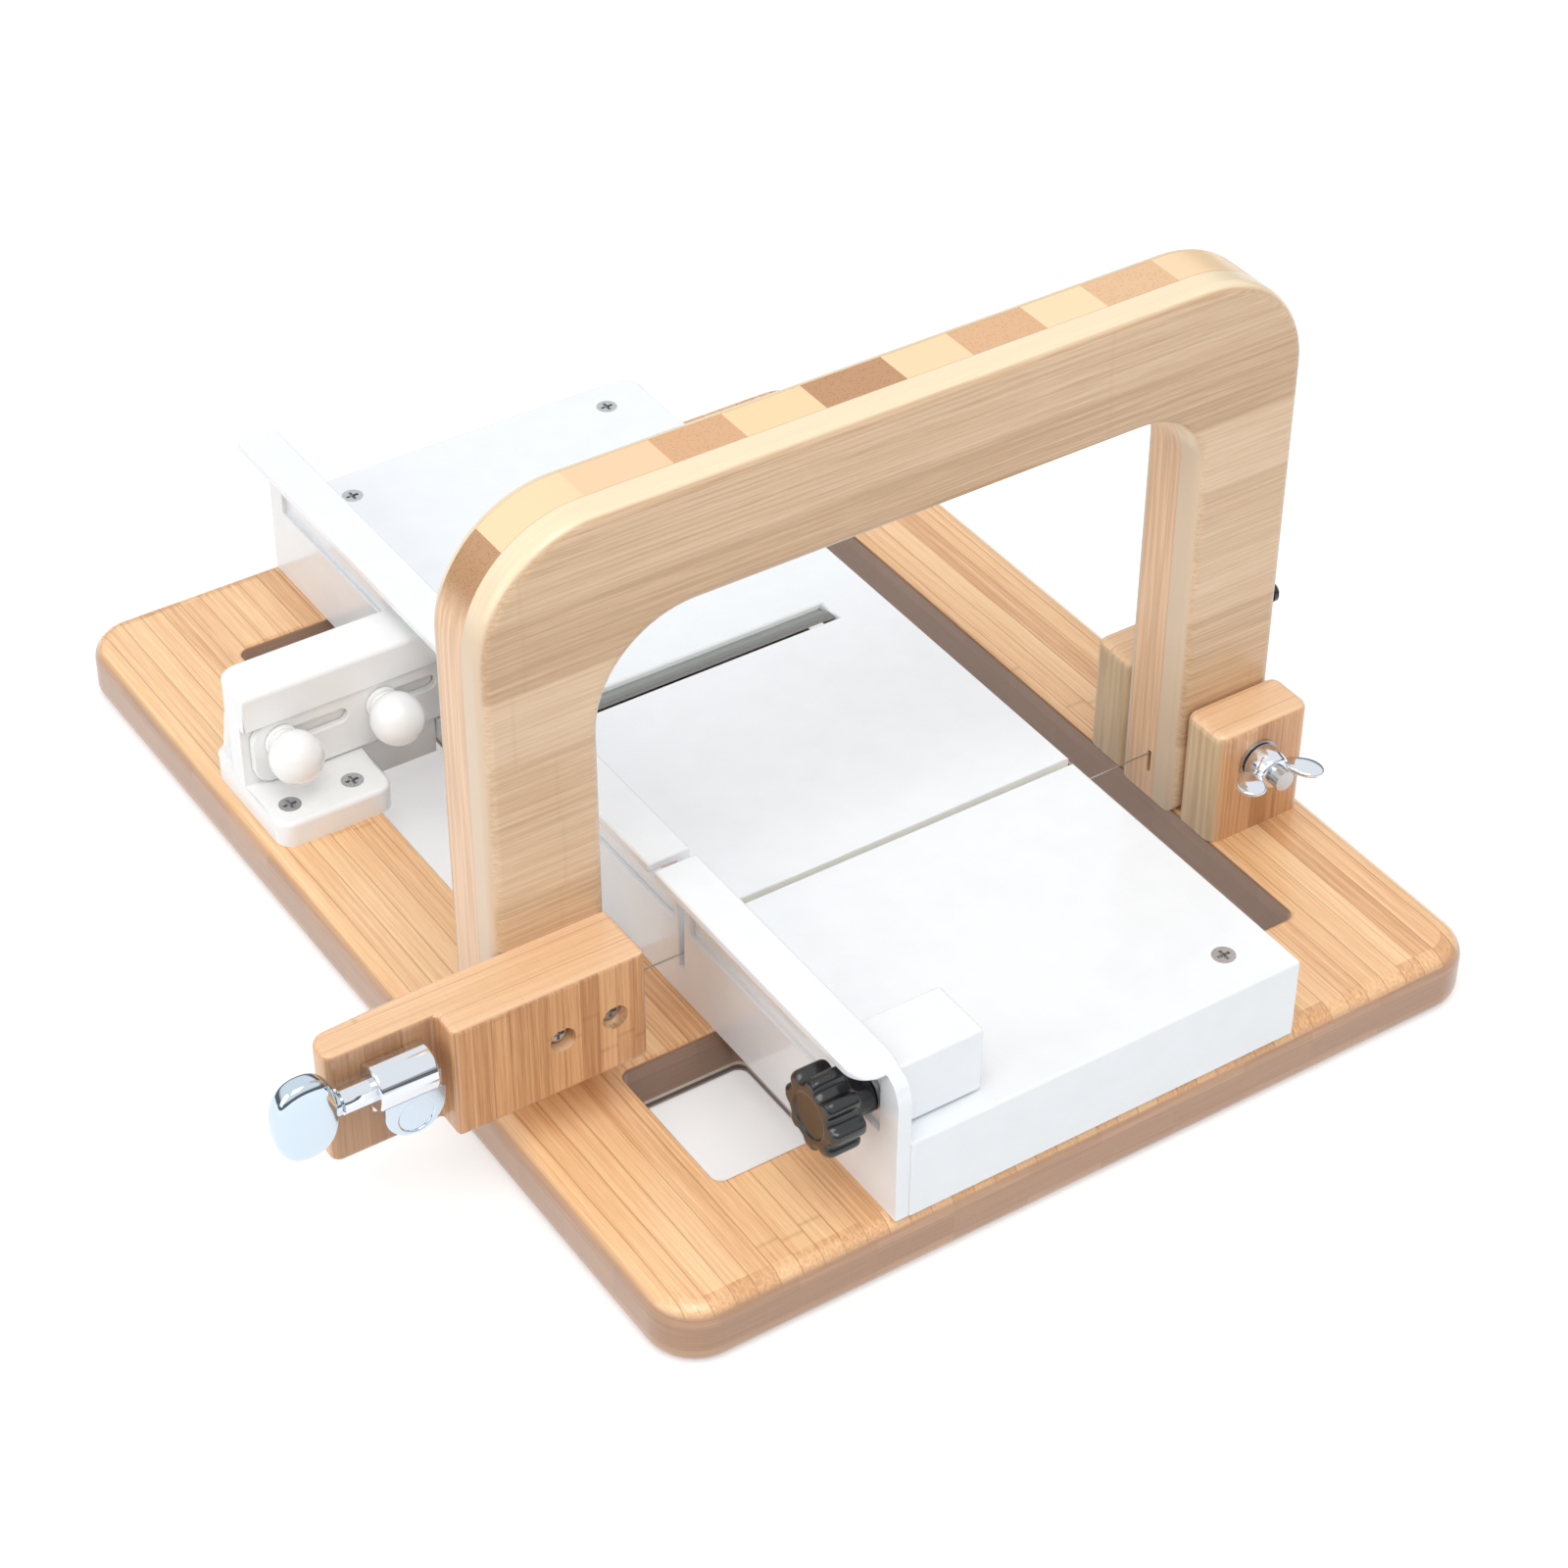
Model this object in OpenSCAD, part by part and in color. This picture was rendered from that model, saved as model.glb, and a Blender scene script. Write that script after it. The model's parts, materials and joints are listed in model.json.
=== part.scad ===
// Soap cutter: a bamboo board with a white cutting deck, a side fence with a sliding stop,
// a planer blade, a corner trimming blade and a hinged bamboo arch that carries the cutting wire.
// X runs along the arch, Y from the front to the rear, Z up. The origin is the centre of the
// underside of the base board.

/* [Base board] */
// Width of the board, along the arch
base_w = 255.2; // [249.2:0.1:261.2]
// Length of the board, front to rear
base_l = 334.4; // [328.4:0.1:340.4]
// Thickness of the board
base_t = 18; // [16:1:20]
// Corner radius of the board in plan
base_r = 14; // [10:1:18]
// Width of the side rails beside the windows
rail_w = 35.1; // [33.1:0.1:37.1]

/* [Deck] */
// Left face of the deck and fence
deck_left = -62.6; // [-64.6:0.1:-61.6]
// Width over the side panel and the deck
deck_w = 125.7; // [122.7:0.1:127.7]
// Height of the cutting surface above the board
deck_h = 24.6; // [23.1:0.1:26.1]
// Wall thickness of the deck moulding
deck_wall = 3; // [2:0.5:4]
// Width of the slot that the wire drops into
slot_w = 2.4; // [2:0.2:3]

/* [Fence] */
// Height of the fence above the cutting surface
fence_h = 24; // [22:0.5:26]
// Width of the flange on top of the fence
flange_w = 12.8; // [10.8:0.1:14.8]
// Thickness of the flange
flange_t = 3; // [2:0.5:4]
// Thickness of the side panel below the cutting surface
panel_t = 4; // [3.5:0.5:5]

/* [Arch] */
// Overall width of the arch
arch_w = 245.4; // [240.4:0.1:248.4]
// Height of the arch above the board
arch_h = 170.4; // [160.4:0.1:180.4]
// Thickness of the arch, front to rear
arch_t = 23.2; // [20.2:0.1:24.2]
// Width of each leg
leg_w = 31.8; // [30.8:0.1:32.8]
// Height of the top bar of the arch
arch_bar_h = 35; // [30:0.5:40]
// Middle plane of the arch
arch_y = -68.9; // [-69.9:0.1:-67.9]
// Plane of the wire
wire_y = -69.6; // [-71.6:0.1:-67.6]
// Outer corner radius
arch_r_out = 33; // [25:1:38]
// Inner corner radius beside the tuner
arch_r_left = 28; // [22:1:32]
// Inner corner radius beside the pivot
arch_r_right = 20; // [16:1:22]

/* [Pivot] */
// Height of the pivot bolt above the board
pivot_h = 24.6; // [22.6:0.1:25.6]
// Diameter of the pivot bolt
bolt_d = 6; // [5:0.5:6]
// Height of the pivot blocks
block_h = 36.6; // [33.6:0.1:39.6]
// Thickness of the front pivot block
pivot_t = 15.8; // [14.8:0.1:17.8]

/* [Tuner] */
// Reach of the arm block from its right end
arm_l = 81.9; // [79.9:0.1:84.9]
// Height of the arm block
arm_h = 35; // [33:0.5:36]
// Thickness of the arm block
arm_t = 18.5; // [17.5:0.5:20.5]
// Distance between the worm and the gear axes
worm_gap = 8; // [8:0.1:8]
// Teeth on the tuner gear
gear_teeth = 14; // [14:1:14]

/* [Stop] */
// Width of the stop block across the deck
stop_w = 24.9; // [20:0.1:30]
// Length of the stop block along the fence
stop_l = 19; // [15:1:20]
// Diameter of the star knob
knob_d = 23; // [20:1:23]

/* [Hidden] */
$fn = 64;

// Small sizes shared by several pieces
eps = 0.01;
run_fit = 0.05;
gap = 0.3;

// Place of everything on the board, from the plane of the arch's middle
place_dx = -0.8;
place_dy = 1.6;

// Heights
base_top = base_t;
deck_top = base_top + deck_h;
fence_top = deck_top + fence_h;
flange_under = fence_top - flange_t;

// Deck and fence edges
deck_right = deck_left + deck_w;
deck_front = -base_l / 2 - 0.6;
deck_rear = base_l / 2 - 5.8;
fence_in = deck_left + panel_t;
web_out = deck_left + 1.5;
flange_out = fence_in - flange_w;

// Board windows
window_in = base_w / 2 - rail_w;
window_mid = 55;
window_front = -base_l / 2 + 36.8;
window_rear = base_l / 2 - 35.8;
window_r = 3;
cross_front = -83.6;
cross_rear = -44.7;

// Arch
arch_foot = base_top + 0.4;
arch_top = base_top + arch_h;
opening_half = arch_w / 2 - leg_w;
opening_top = arch_top - arch_bar_h;
arch_front = arch_y - arch_t / 2;
arch_rear = arch_y + arch_t / 2;

// Pivot
pivot_x = arch_w / 2 - leg_w / 2 - 0.5;
pivot_z = base_top + pivot_h;
pivot_block_x = 92.5;
pivot_block_w = 31.5;
front_block_y = arch_front - gap - pivot_t;
rear_block_t = 16.6;

// Wire
wire_d = 0.5;
wire_z = base_top + 15.3;
anchor_x = opening_half + 4.5;
anchor_r = 1.5;
anchor_z = wire_z - anchor_r - wire_d / 2 - run_fit;

// Arm block and tuner
arm_right = -opening_half;
arm_left = arm_right - arm_l;
arm_z = base_top + 16.7;
arm_front = arch_front - arm_t;
notch_x = arm_right - 54.4;
notch_y = arm_front + 8.5;
gear_x = arm_left + 16;
gear_z = arm_z + arm_h / 2 - 0.45;
worm_z = gear_z + worm_gap;
worm_y = notch_y - 5;
cup_d = 16;
cup_h = 8;
tube_d = 12.4;
tube_x0 = gear_x - 9.5;
tube_x1 = gear_x + 6.5;
shaft_d = 4;
post_d = 6;
bush_d = 8;
post_end = wire_y + 1.5;
gear_tip_r = 5.95;
gear_t = 3.2;
worm_lead = 2 * PI * 5.5 / gear_teeth;
worm_len = 3 * worm_lead;
button_w = 17;
button_h = 24;
button_t = 8;
button_x = arm_left - 3 - button_w / 2;
neck_x0 = button_x + button_w / 2 + 1.1;
neck_d = 6.8;
tongue_x0 = arm_left - 2.5;
tongue_r = 2.6;

// Stop and star knob
stop_y = deck_front + 14.2;
stop_front = deck_front + 5.9;
stop_z = deck_top + 0.8;
stud_z = deck_top + 8.8;
stud_d = 5;
stop_travel = 67;
knob_t = 10;
knob_x = flange_out + 2.2;

// Planer blade
blade_y = 24.1;
blade_half = 45.5;
mouth_l = 8.6;
blade_tilt = 20;

// Bevel trimmer
bracket_x0 = -122.8;
bracket_x1 = web_out - gap;
foot_x1 = -87.2;
foot_front = 40.6;
foot_rear = 83;
bar_front = 59.1;
bar_rear = 75.9;
bar_z = base_top + 28.5;
bar_h = 11.5;
plate_y = 60.1;
plate_t = 2;
plate_x0 = -120.3;
plate_z0 = base_top + 8.5;
plate_z1 = bar_z - 0.4;
wall_y = plate_y + plate_t + gap;
wall_t = 6.7;
bevel_z = base_top + 21.8;
bevel_left_x = -111.8;
bevel_right_x = -80.4;
bevel_travel = 14;
bevel_stud_d = 4;
bevel_edge_y = 52.1;
bevel_bite = 5;
bevel_back_y = bar_front - gap;
opening_y0 = bevel_edge_y - 0.8;
opening_y1 = plate_y + plate_t + 1;
ball_r = 7.75;

// Screw places
deck_screw_x = [-41, 48];
deck_screw_y = [-155, 150];
arm_screw_x = [arm_right - 24.2, arm_right - 9.2];
arm_screw_z = arm_z + arm_h / 2;
foot_screw_x = [-115.9, -96.5];
foot_screw_y = 49;
clamp_screw_x = [-30, 30];
side_screw_y = arch_front + 4.2;
side_screw_z = base_top + 61.8;

// Colours
bamboo = [0.85, 0.62, 0.36];
pale_bamboo = [0.87, 0.70, 0.50];
white_plastic = [0.95, 0.96, 0.97];
black_plastic = [0.06, 0.06, 0.07];
steel = [0.62, 0.63, 0.64];
chrome = [0.82, 0.84, 0.86];
brass = [0.80, 0.65, 0.30];

// Everything that stands on the board, moved to its place
module on_board() {
    translate([place_dx, place_dy, 0]) children();
}

// 2D rectangle with four round corners, from one corner to the opposite one
module round_rect(x0, y0, x1, y1, r) {
    translate([x0 + r, y0]) square([x1 - x0 - 2 * r, y1 - y0]);
    translate([x0, y0 + r]) square([x1 - x0, y1 - y0 - 2 * r]);
    for (x = [x0 + r, x1 - r], y = [y0 + r, y1 - r])
        translate([x, y]) circle(r);
}

// 2D half profile of a slab edge, out to reach, rounded over above and below
module edge_profile(reach, h, rt, rb) {
    translate([0, rb]) square([reach, h - rt - rb]);
    translate([0, h - rt - eps]) square([reach - rt, rt + eps]);
    intersection() {
        translate([reach - rt, h - rt]) circle(rt);
        translate([reach - rt - eps, h - rt - eps]) square([rt + 1, rt + 1]);
    }
    if (rb > 0) {
        square([reach - rb, rb + eps]);
        intersection() {
            translate([reach - rb, rb]) circle(rb);
            translate([reach - rb - eps, -1]) square([rb + 1, rb + 1 + eps]);
        }
    }
}

// Slab with round corners in plan and rounded-over edges, centred in plan, standing on z = 0
module soft_slab(w, l, h, r, rt, rb) {
    for (turn = [0, 180]) rotate(turn) {
        translate([0, l / 2 - r, 0]) rotate([90, 0, 0])
            linear_extrude(l - 2 * r) edge_profile(w / 2, h, rt, rb);
        translate([-w / 2 + r, 0, 0]) rotate([90, 0, 90])
            linear_extrude(w - 2 * r) edge_profile(l / 2, h, rt, rb);
    }
    for (x = [-1, 1], y = [-1, 1])
        translate([x * (w / 2 - r), y * (l / 2 - r), 0])
            rotate_extrude() edge_profile(r, h, rt, rb);
}

// Cross recess cut in a screw head, mouth upward at z = 0
module cross_recess(size, depth) {
    for (turn = [0, 90]) rotate(turn)
        translate([-size / 2, -size / 8, -depth]) cube([size, size / 4, depth + 1]);
}

// Countersunk screw, head flush with z = 0, pointing down
module csk_screw(d, head_d, l) {
    difference() {
        union() {
            translate([0, 0, -(head_d - d) / 2]) cylinder(h = (head_d - d) / 2, d1 = d, d2 = head_d);
            translate([0, 0, -l]) cylinder(h = l - (head_d - d) / 2 + eps, d = d);
        }
        cross_recess(head_d * 0.6, (head_d - d) * 0.4);
    }
}

// Pan head screw, head standing on z = 0, pointing down
module pan_screw(d, head_d, head_h, l) {
    difference() {
        union() {
            cylinder(h = head_h * 0.6, d = head_d);
            translate([0, 0, head_h * 0.6]) cylinder(h = head_h * 0.4, d1 = head_d, d2 = head_d * 0.7);
            translate([0, 0, -l]) cylinder(h = l + eps, d = d);
        }
        translate([0, 0, head_h]) cross_recess(head_d * 0.6, head_h * 0.5);
    }
}

// Room cut for a countersunk screw, mouth upward at z = 0
module csk_room(d, head_d, l) {
    translate([0, 0, -(head_d - d) / 2]) cylinder(h = (head_d - d) / 2, d1 = d, d2 = head_d);
    translate([0, 0, -l - 1]) cylinder(h = l + 2, d = d + 2 * run_fit);
    cylinder(h = 1, d = head_d);
}

// Bamboo board with two windows on the left, one long window on the right and a cross piece
module base_board() {
    color(bamboo) difference() {
        soft_slab(base_w, base_l, base_t, base_r, 6, 4);
        translate([0, 0, -1]) linear_extrude(base_t + 2) {
            round_rect(-window_in, window_front, -window_mid, cross_front, window_r);
            round_rect(-window_in, cross_rear, -window_mid, window_rear, window_r);
            round_rect(window_mid, window_front, window_in, window_rear, window_r);
        }
        for (x = deck_screw_x, y = deck_screw_y) on_board()
            translate([x, y, base_top - 10]) cylinder(h = 11, d = 3 + 2 * run_fit);
        for (x = foot_screw_x) on_board()
            translate([x, foot_screw_y, base_top - 11]) cylinder(h = 12, d = 3 + 2 * run_fit);
        for (p = pivot_screw_points()) on_board()
            translate([p[0], p[1], 0]) rotate([180, 0, 0]) csk_room(4, 8, 30);
    }
}

// Places of the four screws that hold the pivot blocks from below
function pivot_screw_points() = [for (x = [-9.5, 9.5], y = [front_block_y + pivot_t / 2,
    arch_rear + gap + rear_block_t / 2]) [pivot_block_x + pivot_block_w / 2 + x, y]];

// White box with a wire channel, a planer mouth and four screw bosses
module deck_body() {
    inner_x0 = fence_in + 2;
    boss_d = 9;
    color(white_plastic) difference() {
        union() {
            difference() {
                translate([0, 0, base_top]) linear_extrude(deck_h) deck_plan();
                translate([inner_x0, deck_front + deck_wall, base_top - 1])
                    cube([deck_right - deck_wall - inner_x0, deck_rear - deck_front - 2 * deck_wall,
                        deck_h - deck_wall + 1]);
            }
            translate([inner_x0 - eps, wire_y - slot_w / 2 - 2, wire_z - 6.3])
                cube([deck_right - deck_wall - inner_x0 + 2 * eps, slot_w + 4, 14.5]);
            for (x = deck_screw_x, y = deck_screw_y)
                translate([x, y, base_top]) cylinder(h = deck_h - 1, d = boss_d);
            for (x = clamp_screw_x) planer_frame()
                translate([x, 15.5, 0.2]) cylinder(h = 3.8, d = 7);
        }
        translate([fence_in - 1, wire_y - slot_w / 2, wire_z - 4.3])
            cube([deck_w + 2, slot_w, deck_h]);
        translate([-blade_half - 1, blade_y - mouth_l / 2, deck_top - 5])
            cube([2 * blade_half + 2, mouth_l, 6]);
        translate([fence_in - 1, opening_y0, deck_top - 5.5])
            cube([8.5, opening_y1 - opening_y0, 7]);
        for (x = deck_screw_x, y = deck_screw_y)
            translate([x, y, deck_top]) csk_room(3, 6.5, 30);
        planer_frame() translate([-blade_half - 0.6, -1.5, -8])
            cube([2 * blade_half + 1.2, 26, 8.6]);
        for (x = clamp_screw_x) planer_frame()
            translate([x, 15.5, -8]) cylinder(h = 11.7, d = 3 + 2 * run_fit);
    }
}

// Plan of the deck: square at the front and beside the fence, round at the rear right corner
module deck_plan() {
    r = 6;
    difference() {
        translate([fence_in, deck_front]) square([deck_right - fence_in, deck_rear - deck_front]);
        translate([deck_right - r, deck_rear - r]) square([r + 1, r + 1]);
    }
    translate([deck_right - r, deck_rear - r]) circle(r);
}

// Four countersunk screws that hold the deck to the board
module deck_screws() {
    color(steel) for (x = deck_screw_x, y = deck_screw_y)
        translate([x, y, deck_top]) csk_screw(3, 6.5, deck_h + 9);
}

// Side panel with a thin web above it, a flange on top and slots for the stop, the wire and the trimmer
module side_fence() {
    slot_d = stud_d + 0.5;
    post = 8;
    color(white_plastic) difference() {
        union() {
            translate([deck_left, deck_front, base_top])
                cube([panel_t, deck_rear - deck_front, deck_h]);
            translate([web_out, deck_front, base_top])
                cube([fence_in - web_out, deck_rear - deck_front, deck_h + fence_h - flange_t + eps]);
            for (y = [deck_front, wire_y - post / 2, deck_rear - post])
                translate([deck_left, y, base_top]) cube([panel_t, post, fence_top - base_top - 1]);
            translate([0, 0, flange_under]) linear_extrude(flange_t) flange_plan();
        }
        translate([deck_left - 1, deck_front, fence_top]) fence_nose(12);
        translate([deck_left - 20, wire_y - slot_w / 2 - 0.3, wire_z - 5.3])
            cube([30, slot_w + 0.6, fence_h + deck_h]);
        for (ends = [[stop_y, stop_y + stop_travel + 1], [wire_y + 14, 47]])
            stud_slot(ends[0], ends[1], slot_d);
        translate([deck_left - 1, opening_y0, plate_z0 - 1])
            cube([panel_t + 2, opening_y1 - opening_y0, 25]);
    }
}

// Material to cut away so that the front top edge of the fence is rounded to radius r
module fence_nose(r) {
    translate([-20, -1, -r]) difference() {
        cube([40, r + 1, r + 1]);
        translate([-1, r + 1, 0]) rotate([0, 90, 0]) cylinder(h = 42, r = r);
    }
}

// Plan of the flange, with its outer front corner rounded
module flange_plan() {
    r = 7;
    x0 = flange_out;
    y0 = deck_front + 5;
    translate([x0 + r, y0]) square([fence_in - x0 - r, deck_rear - y0]);
    translate([x0, y0 + r]) square([fence_in - x0, deck_rear - y0 - r]);
    intersection() {
        translate([x0 + r, y0 + r]) circle(r);
        translate([x0, y0]) square([r + eps, r + eps]);
    }
}

// Long slot with round ends through the web, between two stud places
module stud_slot(y0, y1, d) {
    translate([deck_left - 1, 0, stud_z]) {
        translate([0, y0, -d / 2]) cube([panel_t + 2, y1 - y0, d]);
        for (y = [y0, y1])
            translate([0, y, 0]) rotate([0, 90, 0]) cylinder(h = panel_t + 2, d = d);
    }
}

// Steel planer blade, its edge just above the deck at the front of the mouth
module planer_blade() {
    color(steel) planer_frame() difference() {
        translate([-blade_half, -1.2, -0.6]) cube([2 * blade_half, 23, 1.2]);
        translate([-blade_half - 1, -1.2, 0.6]) rotate([-25, 0, 0]) translate([0, -4, 0])
            cube([2 * blade_half + 2, 4, 2]);
        for (x = clamp_screw_x)
            translate([x, 15.5, -2]) cylinder(h = 4, d = 3.6);
    }
}

// Frame of the planer blade: origin at the edge, tilted down to the rear
module planer_frame() {
    translate([0, blade_y - mouth_l / 2 + 2.2, deck_top - 0.3]) rotate([-blade_tilt, 0, 0]) children();
}

// Steel bar that clamps the planer blade from below
module blade_clamp() {
    color(steel) planer_frame() difference() {
        translate([-blade_half + 2, 9, -3.6]) cube([2 * blade_half - 4, 14, 3]);
        for (x = clamp_screw_x)
            translate([x, 15.5, -5]) cylinder(h = 6, d = 3.2);
    }
}

// Two screws up through the clamp bar into the deck
module blade_clamp_screws() {
    color(steel) planer_frame() for (x = clamp_screw_x)
        translate([x, 15.5, -3.6]) rotate([180, 0, 0]) pan_screw(3, 6, 2, 7);
}

// White bracket beside the fence: foot, upright wall with an apron, and top bar
module bevel_bracket() {
    apron_z = base_top - 5;
    color(white_plastic) difference() {
        union() {
            translate([0, 0, base_top]) linear_extrude(8)
                round_rect(bracket_x0, foot_front, foot_x1, foot_rear, 5);
            translate([bracket_x0, wall_y, base_top + 7])
                cube([bracket_x1 - bracket_x0 - 1.6, wall_t, bar_z - base_top - 6]);
            translate([foot_x1 - 0.5, wall_y, apron_z])
                cube([bracket_x1 - foot_x1 - 1.1, wall_t, 14]);
            translate([0, 0, bar_z]) linear_extrude(bar_h) bar_plan(6);
            translate([bracket_x0 + 2.5, wall_y + wall_t - 1, base_top + 7]) rotate([90, 0, 90])
                linear_extrude(4) polygon([[0, 0], [13, 0], [8, bar_z - base_top - 6],
                    [0, bar_z - base_top - 6]]);
        }
        for (x = [bevel_left_x, bevel_right_x])
            translate([x, wall_y - 1, bevel_z]) rotate([-90, 0, 0])
                cylinder(h = wall_t + 2, d = bevel_stud_d + 2 * run_fit);
        for (x = foot_screw_x)
            translate([x, foot_screw_y, base_top + 8]) csk_room(3, 6.5, 10);
    }
}

// Plan of the top bar, with its rear left corner rounded to radius r
module bar_plan(r) {
    translate([bracket_x0 + r, bar_front]) square([bracket_x1 - bracket_x0 - r, bar_rear - bar_front]);
    translate([bracket_x0, bar_front]) square([r + eps, bar_rear - r - bar_front]);
    intersection() {
        translate([bracket_x0 + r, bar_rear - r]) circle(r);
        translate([bracket_x0, bar_rear - r - eps]) square([r + eps, r + eps]);
    }
}

// Two countersunk screws in the foot of the bracket
module bevel_bracket_screws() {
    color(steel) for (x = foot_screw_x)
        translate([x, foot_screw_y, base_top + 8]) csk_screw(3, 6.5, 18);
}

// White plate that slides in front of the bracket wall and carries the blade at its right end
module bevel_plate() {
    seat_t = 2;
    blade_t = 0.8;
    back = bevel_back_y - bevel_edge_y;
    color(white_plastic) difference() {
        union() {
            translate([0, plate_y + plate_t, 0]) rotate([90, 0, 0]) linear_extrude(plate_t)
                bevel_plate_outline(6);
            bevel_frame() translate([-7, 3, -blade_t - seat_t]) cube([11.5, back - 3, seat_t]);
            bevel_frame() translate([-1.4, back - eps, -blade_t - seat_t])
                cube([5.9, plate_y + plate_t - bevel_back_y, seat_t]);
        }
        for (ends = [[-115.5, -90.8], [-83.7, -62.9]])
            bevel_slot(ends[0], ends[1], bevel_stud_d + 0.6);
        bevel_frame() translate([-30, -1, -blade_t]) cube([60, 20, 20]);
        for (x = [-4.5, 2]) bevel_frame()
            translate([x, 4.6, -6]) cylinder(h = 8, d = 1.6 + 2 * run_fit);
    }
}

// Front view of the plate: round left end, full height to the fence, a short tongue into the deck
module bevel_plate_outline(r) {
    right = fence_in - 1;
    translate([plate_x0 + r, plate_z0]) square([right - plate_x0 - r, plate_z1 - plate_z0]);
    translate([plate_x0, plate_z0 + r]) square([r + eps, plate_z1 - plate_z0 - 2 * r]);
    for (z = [plate_z0 + r, plate_z1 - r]) translate([plate_x0 + r, z]) circle(r);
    translate([right - eps, deck_top - 4]) square([5, plate_z1 - deck_top + 4]);
}

// Slot with round ends through the plate, between two end faces
module bevel_slot(x0, x1, d) {
    translate([0, plate_y - 1, bevel_z]) {
        translate([x0 + d / 2, 0, -d / 2]) cube([x1 - x0 - d, plate_t + 2, d]);
        for (x = [x0 + d / 2, x1 - d / 2])
            translate([x, 0, 0]) rotate([-90, 0, 0]) cylinder(h = plate_t + 2, d = d);
    }
}

// Frame of the bevel blade: origin at its front edge over the corner of deck and fence,
// X down along the blade, Z off its upper face
module bevel_frame() {
    translate([fence_in + bevel_bite / 2, bevel_edge_y, deck_top + bevel_bite / 2])
        rotate([0, 45, 0]) children();
}

// Steel blade at 45 degrees across the corner of deck and fence, its edge to the front
module bevel_blade() {
    color(steel) bevel_frame() difference() {
        translate([-7, 0, -0.8]) cube([12.5, bevel_back_y - bevel_edge_y, 0.8]);
        translate([-8, 0, 0]) rotate([25, 0, 0]) translate([0, -4, -3]) cube([15, 4, 3]);
        for (x = [-4.5, 2]) translate([x, 4.6, 0]) csk_room(1.6, 3, 2);
    }
}

// Two small countersunk screws that hold the bevel blade
module bevel_blade_screws() {
    color(steel) bevel_frame() for (x = [-4.5, 2])
        translate([x, 4.6, 0]) csk_screw(1.6, 3, 3.6);
}

// White ball with a neck and a stud, screwed through the plate slot into the bracket
module ball_knob(x) {
    reach = wall_y + wall_t - plate_y - 0.7;
    ball_y = 9.5;
    color(white_plastic) translate([x, plate_y, bevel_z]) rotate([90, 0, 0]) {
        translate([0, 0, gap]) cylinder(h = 1.2, d = 10);
        translate([0, 0, gap + 1.2 - eps]) cylinder(h = 3, d = 8);
        translate([0, 0, ball_y]) sphere(ball_r);
        translate([0, 0, -reach]) cylinder(h = reach + 1, d = bevel_stud_d);
    }
}

module bevel_knob_left() {
    ball_knob(bevel_left_x);
}

module bevel_knob_right() {
    ball_knob(bevel_right_x);
}

// White stop that slides along the fence
module stop_block() {
    color(white_plastic) difference() {
        translate([fence_in + gap, stop_front, stop_z]) cube([stop_w, stop_l, 20]);
        translate([fence_in, stop_y, stud_z]) rotate([0, 90, 0]) cylinder(h = 13, d = stud_d);
    }
}

// Threaded stud that carries the stop and the star knob
module stop_stud() {
    color(steel) translate([knob_x - knob_t + 1, stop_y, stud_z]) rotate([0, 90, 0])
        cylinder(h = fence_in + 12.5 - knob_x + knob_t - 1, d = stud_d);
}

// Washer between the knob and the web
module stop_washer() {
    color(steel) translate([web_out - gap - 1.1, stop_y, stud_z]) rotate([0, 90, 0]) difference() {
        cylinder(h = 1.1, d = 11);
        translate([0, 0, -1]) cylinder(h = 4, d = stud_d + 2 * run_fit);
    }
}

// Black star knob with eight lobes and a collar
module star_knob() {
    lobes = 8;
    color(black_plastic) translate([knob_x, stop_y, stud_z]) rotate([0, 90, 0]) difference() {
        union() {
            translate([0, 0, -knob_t]) cylinder(h = knob_t, d = knob_d - 2);
            for (i = [0 : lobes - 1]) rotate(i * 360 / lobes)
                translate([knob_d / 2 - 3, 0, -knob_t + 0.6]) cylinder(h = knob_t - 1.2, d = 6);
            cylinder(h = web_out - gap - 1.1 - gap - knob_x, d = 11);
        }
        translate([0, 0, -knob_t + 1]) cylinder(h = 30, d = stud_d + 2 * run_fit);
        for (i = [0 : lobes - 1]) rotate((i + 0.5) * 360 / lobes)
            translate([knob_d / 2 + 0.8, 0, -knob_t - 1]) cylinder(h = knob_t + 2, d = 4.4);
        translate([0, 0, -knob_t - 1]) cylinder(h = 1.6, d = 12);
    }
}

// Bamboo block beside the right foot of the arch, from the face at y0, bored for the bolt
module pivot_block(y0, t) {
    color(bamboo) difference() {
        translate([pivot_block_x + pivot_block_w / 2, y0 + t / 2, base_top])
            soft_slab(pivot_block_w, t, block_h, 3.5, 2.5, 0);
        translate([pivot_x, y0 - 1, pivot_z]) rotate([-90, 0, 0])
            cylinder(h = t + 2, d = bolt_d + 2 * run_fit);
        for (p = pivot_screw_points())
            translate([p[0], p[1], base_top - 1]) cylinder(h = 16, d = 4 + 2 * run_fit);
    }
}

module pivot_block_front() {
    pivot_block(front_block_y, pivot_t);
}

module pivot_block_rear() {
    pivot_block(arch_rear + gap, rear_block_t);
}

// Four wood screws from under the board into the pivot blocks
module pivot_block_screws() {
    color(steel) for (p = pivot_screw_points())
        translate([p[0], p[1], 0]) rotate([180, 0, 0]) csk_screw(4, 8, base_t + 14);
}

// Bolt through both blocks and the right foot of the arch
module pivot_bolt() {
    rear_y = arch_rear + gap + rear_block_t;
    color(steel) translate([pivot_x, rear_y, pivot_z]) {
        rotate([90, 0, 0]) cylinder(h = rear_y - front_block_y + 12, d = bolt_d);
        rotate([-90, 0, 0]) cylinder(h = 4, d = 11.5, $fn = 6);
    }
}

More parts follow.
